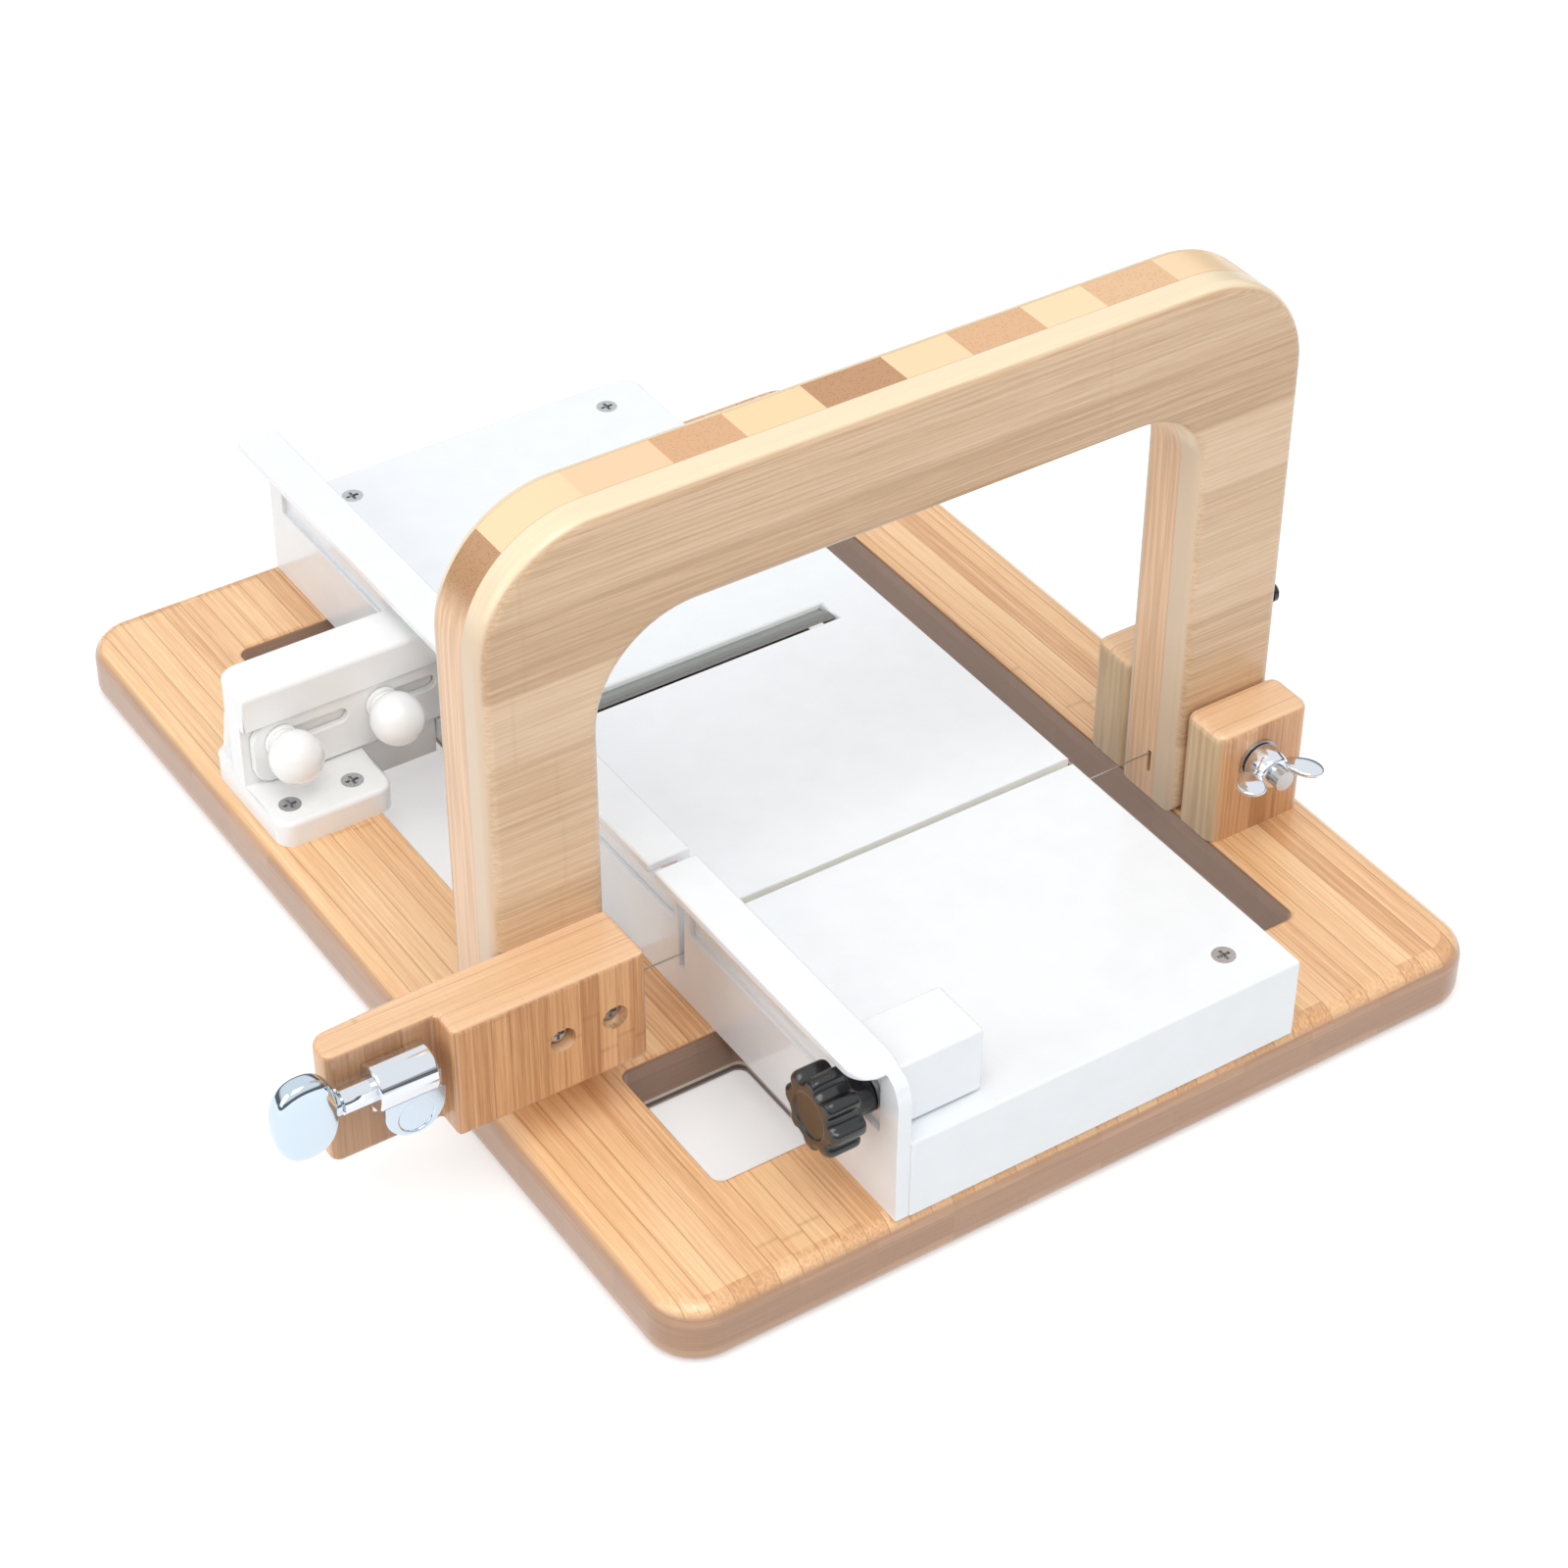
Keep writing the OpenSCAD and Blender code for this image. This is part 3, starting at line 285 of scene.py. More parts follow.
class EffectLibrary:
    """The node groups that several finishes share, each built once."""

    def __init__(self, sizes: Patterns = Patterns()) -> None:
        """Builds the groups."""
        self.sizes = sizes
        self.bamboo_grain = self._bamboo_grain()
        self.moulded_skin = self._moulded_skin()
        self.brushed_lines = self._brushed_lines()

    @staticmethod
    def _open(name: str, *numbers: str) -> tuple[ShaderTree, dict[str, Socket]]:
        """Makes an empty group that takes a position and some numbers.

        Args:
            name: The group's name.
            numbers: The names of its other inputs.

        Returns:
            The tree, and the inputs by name.
        """
        tree = bpy.data.node_groups.new(name, "ShaderNodeTree")
        tree.interface.new_socket("Position", in_out="INPUT", socket_type="NodeSocketVector")
        for label in numbers:
            tree.interface.new_socket(label, in_out="INPUT", socket_type="NodeSocketFloat")
        shader = ShaderTree(tree)
        source = shader.add("NodeGroupInput")
        return shader, {socket.name: socket for socket in source.outputs if socket.name}

    @staticmethod
    def _close(shader: ShaderTree, **results: Socket) -> bpy.types.NodeTree:
        """Gives the group its outputs, one number each."""
        for label in results:
            shader.tree.interface.new_socket(label, in_out="OUTPUT",
                                             socket_type="NodeSocketFloat")
        shader.add("NodeGroupOutput", results)
        return shader.tree

    def _bamboo_grain(self) -> bpy.types.NodeTree:
        """Strips of bamboo glued edge to edge, with fibres and the knuckles of the cane.

        Position is in millimetres: X across the strips, Y along the fibres, Z through the board.
        Every strip floor(X / width) has its own tone; fibres are noise stretched along Y; a
        knuckle is a narrow band where (Y + the strip's offset) passes a multiple of the spacing.
        """
        shader, given = self._open("bamboo_grain", "Strip Width", "Knuckle Spacing", "Seed")
        sizes, spacing, seed = self.sizes, given["Knuckle Spacing"], given["Seed"]
        place = shader.split(given["Position"])
        wobble = shader.noise(shader.join(0.0, place["Y"], place["Z"]), *sizes.drift)
        across = shader.math("DIVIDE", shader.plus(place["X"], wobble), given["Strip Width"])
        strip = shader.math("FLOOR", across)
        tone = shader.dice(strip, shader.cell(place["Z"], sizes.layer), seed)
        joint = shader.fade(shader.math("PINGPONG", across, 0.5), *sizes.joint_blur)
        coarse = shader.streaks(place, *sizes.coarse)
        fine = shader.streaks(place, *sizes.fine, detail=2.0)
        fibre = shader.plus(shader.times(coarse, sizes.coarse_share),
                            shader.times(fine, sizes.fine_share))
        cane = shader.cell(strip, sizes.strips_together)
        shift = shader.times(shader.dice(cane, 7.0, seed), spacing)
        own = shader.times(shader.dice(strip, 3.0, seed), sizes.knuckle_scatter)
        along = shader.plus(shader.plus(place["Y"], shift), own)
        reach = shader.math("PINGPONG", along, shader.times(spacing, 0.5))
        wavering = shader.plus(reach, shader.times(fine, sizes.knuckle_waver))
        knuckle = shader.fade(wavering, *sizes.knuckle_blur)
        return self._close(shader, Tone=tone, Fibre=fibre, Knuckle=knuckle, Joint=joint,
                           Height=shader.minus(fibre, shader.times(joint, sizes.joint_depth)))

    def _moulded_skin(self) -> bpy.types.NodeTree:
        """The faint waviness and the handling marks of a glossy moulding."""
        shader, given = self._open("moulded_skin", "Marks")
        sizes = self.sizes
        wave, speck, smear = (shader.noise(given["Position"], *size)
                              for size in (sizes.wave, sizes.speck, sizes.smear))
        gloss = shader.times(shader.step(smear, *sizes.smear_blur), given["Marks"])
        return self._close(shader, Shade=smear, Gloss=gloss,
                           Height=shader.plus(wave, shader.times(speck, sizes.speck_share)))

    def _brushed_lines(self) -> bpy.types.NodeTree:
        """Fine parallel lines of ground metal, along X of the position."""
        shader, given = self._open("brushed_lines")
        line = shader.streaks(shader.split(given["Position"]), *self.sizes.ground, detail=2.0)
        return self._close(shader, Line=line)


class Finish:
    """A material with its shader open for building."""

    def __init__(self, name: str, effects: EffectLibrary) -> None:
        """Makes the material with one glossy shader, and reads positions in millimetres."""
        self.effects = effects
        self.material = bpy.data.materials.new(name)
        self.shader = ShaderTree.emptied(self.material)
        self.where = self.shader.add("TexCoord")
        self.position = self.shader.add(
            "VectorMath", {0: self.where.outputs["Object"], "Scale": 1.0 / MM},
            operation="SCALE").outputs[0]
        self.surface = self.shader.add("BsdfPrincipled")
        self.shader.add("OutputMaterial", {"Surface": self.surface.outputs[0]})

    @cached_property
    def place(self) -> dict[str, Socket]:
        """Gives the X, Y and Z of the position."""
        return self.shader.split(self.position)

    @cached_property
    def facing(self) -> dict[str, Socket]:
        """Gives the X, Y and Z of the way the surface faces."""
        return self.shader.split(self.where.outputs["Normal"])

    def put(self, **values: object) -> bpy.types.Material:
        """Feeds the glossy shader and gives the material; an underscore stands for a space."""
        for name, value in values.items():
            self.shader.feed(self.surface.inputs[name.replace("_", " ")], value)
        return self.material


@dataclass(frozen=True)
class BambooTone:
    """The colours of one kind of bamboo face, from its lightest strip to its knuckles."""

    light: Rgb
    middle: Rgb
    dark: Rgb
    knuckle: Rgb = (150, 98, 60)
    joint: Rgb = (168, 116, 74)


@dataclass(frozen=True)
class BambooFinish:
    """Lacquered bamboo: strips with fibres one way."""

    name: str
    grain: Grain
    tone: BambooTone
    strip_width: float = 6.0
    knuckle_spacing: float = 210.0
    seed: float = 0.0
    contrast: float = 1.0
    strip_share: float = 0.55
    fibre_share: float = 1.9
    joint_share: float = 0.42
    knuckles: float = 0.3
    roughness: float = 0.34
    coat: float = 0.35
    coat_roughness: float = 0.16
    relief: float = 0.18
    relief_strength: float = 0.35

    def strips(self, finish: Finish) -> tuple[Socket, Socket]:
        """Colours the strips and their fibres.

        Args:
            finish: The material to build in.

        Returns:
            The colour and the height.
        """
        shader = finish.shader
        grain = shader.group(finish.effects.bamboo_grain,
                             Position=shader.join(*(finish.place[axis]
                                                    for axis in self.grain.value)),
                             Strip_Width=self.strip_width, Knuckle_Spacing=self.knuckle_spacing,
                             Seed=self.seed)
        spread, fibre = (shader.times(shader.minus(grain[name], 0.5), share * self.contrast)
                         for name, share in (("Tone", self.strip_share),
                                             ("Fibre", self.fibre_share)))
        level = shader.plus(0.5, shader.plus(spread, fibre), clamp=True)
        colour = shader.ramp(level, [(0.0, linear(self.tone.dark)),
                                     (0.5, linear(self.tone.middle)),
                                     (1.0, linear(self.tone.light))])
        for name, share, shade in (("Joint", self.joint_share * self.contrast, self.tone.joint),
                                   ("Knuckle", self.knuckles, self.tone.knuckle)):
            colour = shader.mix(shader.times(grain[name], share), colour, linear(shade))
        return colour, grain["Height"]

    def sided(self, finish: Finish, face: Socket) -> Socket:
        """Gives the colour with that of the sides laid over the strips of the face."""
        return face

    def build(self, effects: EffectLibrary) -> bpy.types.Material:
        """Makes the material."""
        finish = Finish(self.name, effects)
        face, height = self.strips(finish)
        return finish.put(Base_Color=self.sided(finish, face),
                          Roughness=self.roughness, Coat_Weight=self.coat,
                          Coat_Roughness=self.coat_roughness,
                          Normal=finish.shader.bump(height, self.relief, self.relief_strength))


@dataclass(frozen=True)
class BoardFinish(BambooFinish):
    """The board: pale strips on top, brown cut plies round its sides and in its windows.

    The core ply shows between ply_bottom and ply_top. The walls of the windows, within half_inner
    of the middle, are darker with painted shade, and carry a painted reflection near their foot:
    a light line and a dark one.
    """

    coat_roughness: float = 0.12
    side: Rgb = (206, 164, 132)
    side_dark: Rgb = (156, 118, 92)
    line_scales: Point = (0.05, 0.05, 2.2)
    line_share: float = 0.8
    block: Point = (23.0, 23.0, 5.8)
    block_share: float = 0.35
    core_change: int = -44
    core_share: float = 0.45
    ply_top: float = 12.6
    ply_bottom: float = 5.2
    ply_blur: float = 0.3
    half_inner: Pair = (93.5, 140.0)
    inner_blur: Pair = (0.5, 1.0)
    # Painted shade: the colour that the window walls are darkened towards.
    wall: Rgb = (122, 86, 62)
    window_shade_share: float = 0.42
    upright_blur: Pair = (0.42, 0.8)
    # Painted reflection near the foot of the window walls: height, half width and colour of a
    # light line and of a dark one.
    painted_highlight_line: tuple[float, float, Rgb] = (3.4, 0.55, (232, 216, 200))
    painted_dark_reflection_line: tuple[float, float, Rgb] = (2.1, 0.6, (70, 48, 34))

    def sided(self, finish: Finish, face: Socket) -> Socket:
        """Lays the plies over every wall, with painted shade and a painted reflection on the
        window walls.
        """
        shader, place = finish.shader, finish.place
        blocks = shader.dice(*(shader.cell(place[name], size)
                               for name, size in zip("XYZ", self.block)))
        lines = shader.streaks(place, *self.line_scales)
        share = shader.plus(shader.times(lines, self.line_share),
                            shader.times(blocks, self.block_share), clamp=True)
        wall = shader.mix(share, linear(self.side_dark), linear(self.side))
        core = shader.times(
            shader.step(place["Z"], self.ply_bottom - self.ply_blur, self.ply_bottom),
            shader.fade(place["Z"], self.ply_top, self.ply_top + self.ply_blur))
        wall = shader.mix(shader.times(core, self.core_share), wall,
                          linear(shifted(self.side, self.core_change)))
        # The window walls, where the painted shade and the painted reflection go.
        inside = shader.times(*(
            shader.fade(shader.math("ABSOLUTE", place[name]), half, half + blur)
            for name, half, blur in zip("XY", self.half_inner, self.inner_blur)))
        # Painted shade on the window walls.
        wall = shader.mix(shader.times(inside, self.window_shade_share), wall, linear(self.wall))
        # Painted reflection: a light line and a dark line on the window walls.
        for height, reach, shade in (self.painted_highlight_line, self.painted_dark_reflection_line):
            line = shader.math("COMPARE", place["Z"], height, reach)
            wall = shader.mix(shader.times(inside, line), wall, linear(shade))
        return shader.mix(shader.fade(finish.facing["Z"], *self.upright_blur), face, wall)


@dataclass(frozen=True)
class CoreBlock:
    """One block of the arch's core: where it starts along X, its colour and its cut pores."""

    start: float
    colour: Rgb
    pores: float = 0.0


@dataclass(frozen=True)
class ArchFinish(BambooFinish):
    """The arch: a tan face ply, a core of upright blocks of mixed colour and a thin rear ply.

    The seams are places along Y, and the blocks lie along X.
    """

    relief: float = 0.16
    relief_strength: float = 0.3
    seams: Pair = (-70.4, -58.6)
    seam_blur: float = 0.15
    glue_reach: float = 0.2
    glue: Rgb = (168, 122, 84)
    glue_share: float = 0.28
    reach: float = 125.0
    rising_blur: Pair = (0.2, 0.5)
    flat_blur: Pair = (0.55, 0.9)
    edge_scales: Point = (0.05, 3.0, 0.05)
    side_scales: Point = (0.3, 0.8, 0.02)
    side_blur: Pair = (0.35, 0.65)
    side_change: int = 22
    edge_light: Rgb = (248, 230, 198)
    edge_dark: Rgb = (236, 212, 174)
    side_ply: Rgb = (222, 196, 166)
    side_core: Rgb = (218, 176, 136)
    pore: Rgb = (128, 84, 52)
    pore_scale: float = 1.3
    pore_blur: Pair = (0.1, 0.42)
    pore_share: float = 0.5
    blocks: tuple[CoreBlock, ...] = (
        CoreBlock(-125.0, (188, 144, 104), 1.0), CoreBlock(-112.0, (246, 212, 168)),
        CoreBlock(-89.0, (240, 202, 160)), CoreBlock(-65.3, (218, 168, 122), 0.6),
        CoreBlock(-44.7, (246, 210, 162)), CoreBlock(-22.1, (190, 140, 96), 1.0),
        CoreBlock(1.1, (246, 212, 166)), CoreBlock(20.6, (222, 174, 128), 0.6),
        CoreBlock(43.0, (248, 216, 172)), CoreBlock(62.4, (228, 184, 140), 0.5),
        CoreBlock(84.0, (244, 210, 166)), CoreBlock(106.0, (226, 182, 138), 0.5))

    def core(self, finish: Finish) -> Socket:
        """Colours the blocks of the core, with pores where a block is cut across its fibres."""
        shader = finish.shader
        span = 2 * self.reach
        along = shader.math("DIVIDE", shader.plus(finish.place["X"], self.reach), span)
        shares = [(block.start + self.reach) / span for block in self.blocks]
        colour, cut = (shader.ramp(along, list(zip(shares, values)), stepped=True)
                       for values in ([linear(block.colour) for block in self.blocks],
                                      [(block.pores,) * 3 + (1.0,) for block in self.blocks]))
        dots = shader.add("TexVoronoi", {"Vector": finish.position, "Scale": self.pore_scale},
                          feature="F1")
        speckle = shader.fade(dots.outputs["Distance"], *self.pore_blur)
        return shader.mix(shader.times(speckle, cut, self.pore_share), colour,
                          linear(self.pore))

    def sided(self, finish: Finish, face: Socket) -> Socket:
        """Lays the edges of the plies over the narrow sides of the arch."""
        shader, place, facing = finish.shader, finish.place, finish.facing
        rising = shader.beyond(facing["Z"], *self.rising_blur)
        edge = shader.mix(shader.streaks(place, *self.edge_scales), linear(self.edge_dark),
                          linear(self.edge_light))
        edge = shader.mix(rising, linear(self.side_ply), edge)
        outer = shader.mix(shader.beyond(facing["Y"], *self.flat_blur), edge, face)
        upright = shader.step(shader.streaks(place, *self.side_scales), *self.side_blur)
        side = shader.mix(upright, linear(self.side_core),
                          linear(shifted(self.side_core, self.side_change)))
        cored = shader.mix(rising, side, self.core(finish))
        front, rear = self.seams
        inner = shader.times(
            shader.step(place["Y"], front - self.seam_blur, front + self.seam_blur),
            shader.fade(place["Y"], rear - self.seam_blur, rear + self.seam_blur))
        glued = shader.plus(*(shader.math("COMPARE", place["Y"], seam, self.glue_reach)
                              for seam in self.seams))
        return shader.mix(shader.times(glued, self.glue_share), shader.mix(inner, outer, cored),
                          linear(self.glue))


@dataclass(frozen=True)
class BlockFinish(BambooFinish):
    """A small block: strips up its front, lines along X on its top and a pale ply at its flanks.

    A notched block is darker on the front of its set-back left end.
    """

    top: BambooTone = BambooTone((250, 216, 176), (240, 198, 156), (222, 176, 132))
    top_width: float = 9.0
    top_contrast: float = 0.8
    top_seed: float = 5.0
    top_blur: Pair = (0.35, 0.75)
    flank: Rgb = (226, 198, 158)
    flank_share: float = 0.0
    flank_scales: Point = (0.1, 0.55, 0.02)
    flank_change: int = -26
    ply_blur: Pair = (0.35, 0.65)
    side_blur: Pair = (0.35, 0.8)
    notched: bool = False
    notch: Rgb = (160, 122, 92)
    notch_share: float = 0.55
    notch_x: Pair = (-147.0, -145.8)
    notch_y: Pair = (-92.0, -90.0)
    notch_facing: Pair = (-0.8, -0.35)

    def sided(self, finish: Finish, face: Socket) -> Socket:
        """Lays the top and the flanks over the strips of the front."""
        shader, place, facing = finish.shader, finish.place, finish.facing
        lying = BambooFinish(self.name, Grain.ALONG_X, self.top, strip_width=self.top_width,
                             seed=self.seed + self.top_seed, contrast=self.top_contrast)
        above, _ = lying.strips(finish)
        plies = shader.step(shader.streaks(place, *self.flank_scales), *self.ply_blur)
        flank = shader.mix(plies, linear(shifted(self.flank, self.flank_change)),
                           linear(self.flank))
        if self.notched:
            sunk = shader.times(shader.fade(place["X"], *self.notch_x),
                                shader.step(place["Y"], *self.notch_y),
                                shader.fade(facing["Y"], *self.notch_facing),
                                self.notch_share)
            face = shader.mix(sunk, face, linear(self.notch))
        aside = shader.times(shader.beyond(facing["X"], *self.side_blur), self.flank_share)
        return shader.mix(shader.beyond(facing["Z"], *self.top_blur),
                          shader.mix(aside, face, flank), above)


@dataclass(frozen=True)
class PlasticFinish:
    """Glossy moulded plastic with a faintly wavy skin and a few handling marks."""

    name: str
    colour: Rgb
    roughness: float = 0.16
    marks: float = 0.08
    shade: float = 0.07
    coat: float = 0.4
    coat_roughness: float = 0.06
    refraction: float = 1.5
    relief: float = 0.6
    relief_strength: float = 0.25

    def base_colour(self, finish: Finish) -> object:
        """Gives the plastic's own colour."""
        return linear(self.colour)

    def build(self, effects: EffectLibrary) -> bpy.types.Material:
        """Makes the material."""
        finish = Finish(self.name, effects)
        shader = finish.shader
        skin = shader.group(effects.moulded_skin, Position=finish.position, Marks=self.marks)
        base = self.base_colour(finish)
        shaded = shader.mix(self.shade, base, BLACK)
        return finish.put(Base_Color=shader.mix(skin["Shade"], shaded, base),
                          Roughness=shader.plus(skin["Gloss"], self.roughness),
                          Coat_Weight=self.coat, Coat_Roughness=self.coat_roughness,
                          IOR=self.refraction,
                          Normal=shader.bump(skin["Height"], self.relief,
                                             self.relief_strength))


@dataclass(frozen=True)
class DeckFinish(PlasticFinish):
    """The deck's white plastic, with painted light inside the wire's slot, which is lighter and
    warmer.
    """

    slot_y: float = -68.0
    slot_reach: float = 2.4
    slot_top: Pair = (42.1, 42.4)
    # Painted light: the glow of light through the translucent plastic inside the slot.
    inside: Rgb = (255, 254, 248)

    def base_colour(self, finish: Finish) -> Socket:
        """Mixes the painted light in between the slot's walls, below the deck's face."""
        shader = finish.shader
        near = shader.math("COMPARE", finish.place["Y"], self.slot_y, self.slot_reach)
        below = shader.fade(finish.place["Z"], *self.slot_top)
        return shader.mix(shader.times(near, below), linear(self.colour), linear(self.inside))


@dataclass(frozen=True)
class MetalFinish:
    """Bare metal: polished where lines is 0, ground where it is 1."""

    name: str
    colour: Rgb
    roughness: float
    lines: float = 0.0
    marks: float = 0.05
    line_shade: float = 0.35
    line_roughness: float = 0.22
    relief: float = 0.06
    line_relief: float = 0.12
    least_relief: float = 0.01

    def build(self, effects: EffectLibrary) -> bpy.types.Material:
        """Makes the material."""
        finish = Finish(self.name, effects)
        shader = finish.shader
        line = shader.group(effects.brushed_lines, Position=finish.position)["Line"]
        skin = shader.group(effects.moulded_skin, Position=finish.position,
                            Marks=self.marks)
        base = linear(self.colour)
        shaded = tuple(part * (1.0 - self.line_shade * self.lines) for part in base[:3]) + (1.0,)
        rough = shader.plus(shader.plus(skin["Gloss"], self.roughness),
                            shader.times(line, self.line_roughness * self.lines))
        return finish.put(Base_Color=shader.mix(line, shaded, base), Metallic=1.0,
                          Roughness=rough,
                          Normal=shader.bump(line, self.relief, self.line_relief * self.lines
                                             + self.least_relief))


GOLDEN = BambooTone((252, 212, 162), (241, 191, 140), (214, 158, 108))
TAN = BambooTone((232, 202, 170), (218, 184, 148), (194, 158, 122), (184, 142, 104),
                 (206, 172, 138))
BROWN = BambooTone((236, 186, 138), (214, 160, 114), (184, 130, 86), (140, 92, 58),
                   (158, 108, 72))
DUSK = BambooTone((204, 176, 144), (192, 163, 132), (172, 142, 110), (150, 112, 80),
                  (160, 128, 98))


class Look(Enum):
    """Every finish of the object."""

    BOARD = BoardFinish("board_bamboo", Grain.ALONG_Y, GOLDEN, strip_width=6.4, roughness=0.3,
                        coat=0.5, contrast=1.35)
    ARCH = ArchFinish("arch_bamboo", Grain.ALONG_X_UPRIGHT, TAN, strip_width=21.0,
                      knuckle_spacing=170.0, seed=3.0, contrast=1.25, knuckles=0.14)
    ARM = BlockFinish("arm_bamboo", Grain.ALONG_Z, BROWN, strip_width=5.0, seed=8.0,
                      knuckle_spacing=120.0, contrast=1.3, notched=True)
    BLOCK = BlockFinish("block_bamboo", Grain.ALONG_Z, BROWN, strip_width=4.4, seed=12.0,
                        knuckle_spacing=140.0, contrast=1.2, flank_share=0.9)
    REAR_BLOCK = BlockFinish("rear_block_bamboo", Grain.ALONG_Z, DUSK, strip_width=7.5,
                             seed=15.0, knuckle_spacing=140.0, flank_share=0.7)
    WHITE = PlasticFinish("white_moulding", (247, 250, 253))
    DECK = DeckFinish("deck_moulding", (247, 250, 253))
    IVORY = PlasticFinish("trimmer_moulding", (252, 252, 251))
    BLACK = PlasticFinish("black_moulding", (26, 27, 29), roughness=0.2, marks=0.1)
    CHROME = MetalFinish("chrome", (226, 230, 236), 0.05)
    BUTTON = MetalFinish("button_chrome", (206, 220, 232), 0.06)
    STEEL = MetalFinish("zinc_steel", (206, 208, 210), 0.24, 0.3)
    BLADE = MetalFinish("ground_blade", (196, 197, 193), 0.3, 1.0)
    WIRE = MetalFinish("drawn_wire", (186, 188, 190), 0.2)
    BRASS = MetalFinish("cut_brass", (208, 172, 98), 0.25, 0.5)


def read(items: Sequence, name: str, width: int = 1, kind: type = float) -> np.ndarray:
    """Reads one attribute of every item of a mesh, a row an item."""
    values = np.empty(len(items) * width, kind)
    items.foreach_get(name, values)
    return values.reshape(-1, width) if width > 1 else values


@dataclass(frozen=True)
class Edges:
    """The edges of a mesh: their ends in millimetres and the angles between their faces."""

    start: np.ndarray
    end: np.ndarray
    angle: np.ndarray

    @classmethod
    def of(cls, mesh: bpy.types.Mesh) -> Edges:
        """Reads the edges of a mesh.

        The angle is arccos(n1 . n2) in radians; an edge without exactly two faces gets zero.

        Args:
            mesh: The mesh to read.

        Returns:
            Its edges, one row an edge.
        """
        points = read(mesh.vertices, "co", 3)
        pairs = read(mesh.edges, "vertices", 2, int)
        normals = read(mesh.polygons, "normal", 3)
        sizes = read(mesh.polygons, "loop_total", kind=int)
        loop_edges = read(mesh.loops, "edge_index", kind=int)
        owners = np.repeat(np.arange(len(sizes)), sizes)
        order = np.argsort(loop_edges, kind="stable")
        sorted_edges, sorted_owners = loop_edges[order], owners[order]
        first, last = (np.searchsorted(sorted_edges, np.arange(len(pairs)), side=side)
                       for side in ("left", "right"))
        paired = last - first == 2
        one, other = (normals[sorted_owners[first[paired] + step]] for step in (0, 1))
        angles = np.zeros(len(pairs))
        angles[paired] = np.arccos(np.clip((one * other).sum(1), -1.0, 1.0))
        return cls(points[pairs[:, 0]] / MM, points[pairs[:, 1]] / MM, angles)

    @property
    def length(self) -> np.ndarray:
        """Gives the edges' lengths."""
        return np.linalg.norm(self.end - self.start, axis=1)

    def at(self, axis: int, place: float) -> np.ndarray:
        """Says which edges lie at one place along an axis."""
        return ((np.abs(self.start[:, axis] - place) < TOUCH)
                & (np.abs(self.end[:, axis] - place) < TOUCH))

    def above(self, axis: int, place: float) -> np.ndarray:
        """Says which edges lie beyond a place along an axis."""
        return (self.start[:, axis] > place) & (self.end[:, axis] > place)

    def below(self, axis: int, place: float) -> np.ndarray:
        """Says which edges lie short of a place along an axis."""
        return (self.start[:, axis] < place) & (self.end[:, axis] < place)

    def near(self, axes: tuple[int, int], radius: float, *centres: Pair) -> np.ndarray:
        """Says which edges start within a radius of one of some bores.

        Args:
            axes: The two axes across the bores.
            radius: The distance, in millimetres.
            centres: Where the bores are along those axes.

        Returns:
            Yes or no for every edge.
        """
        flat = self.start[:, list(axes)]
        return np.any([np.hypot(*(flat - centre).T) < radius for centre in centres], axis=0)


Rule = Callable[[Edges], np.ndarray]
Stand = Callable[[np.ndarray, np.ndarray, np.ndarray], np.ndarray]
Profile = list[Pair]


def link(name: str, data: bpy.types.ID) -> bpy.types.Object:
    """Makes an object of some data and puts it in the scene."""
    made = bpy.data.objects.new(name, data)
    bpy.context.scene.collection.objects.link(made)
    return made


def smooth_object(mesh: bpy.types.Mesh) -> bpy.types.Object:
    """Makes an object of a mesh, smooth except at its creases."""
    mesh.shade_smooth()
    mesh.set_sharp_from_angle(angle=CREASE)
    return link(mesh.name, mesh)


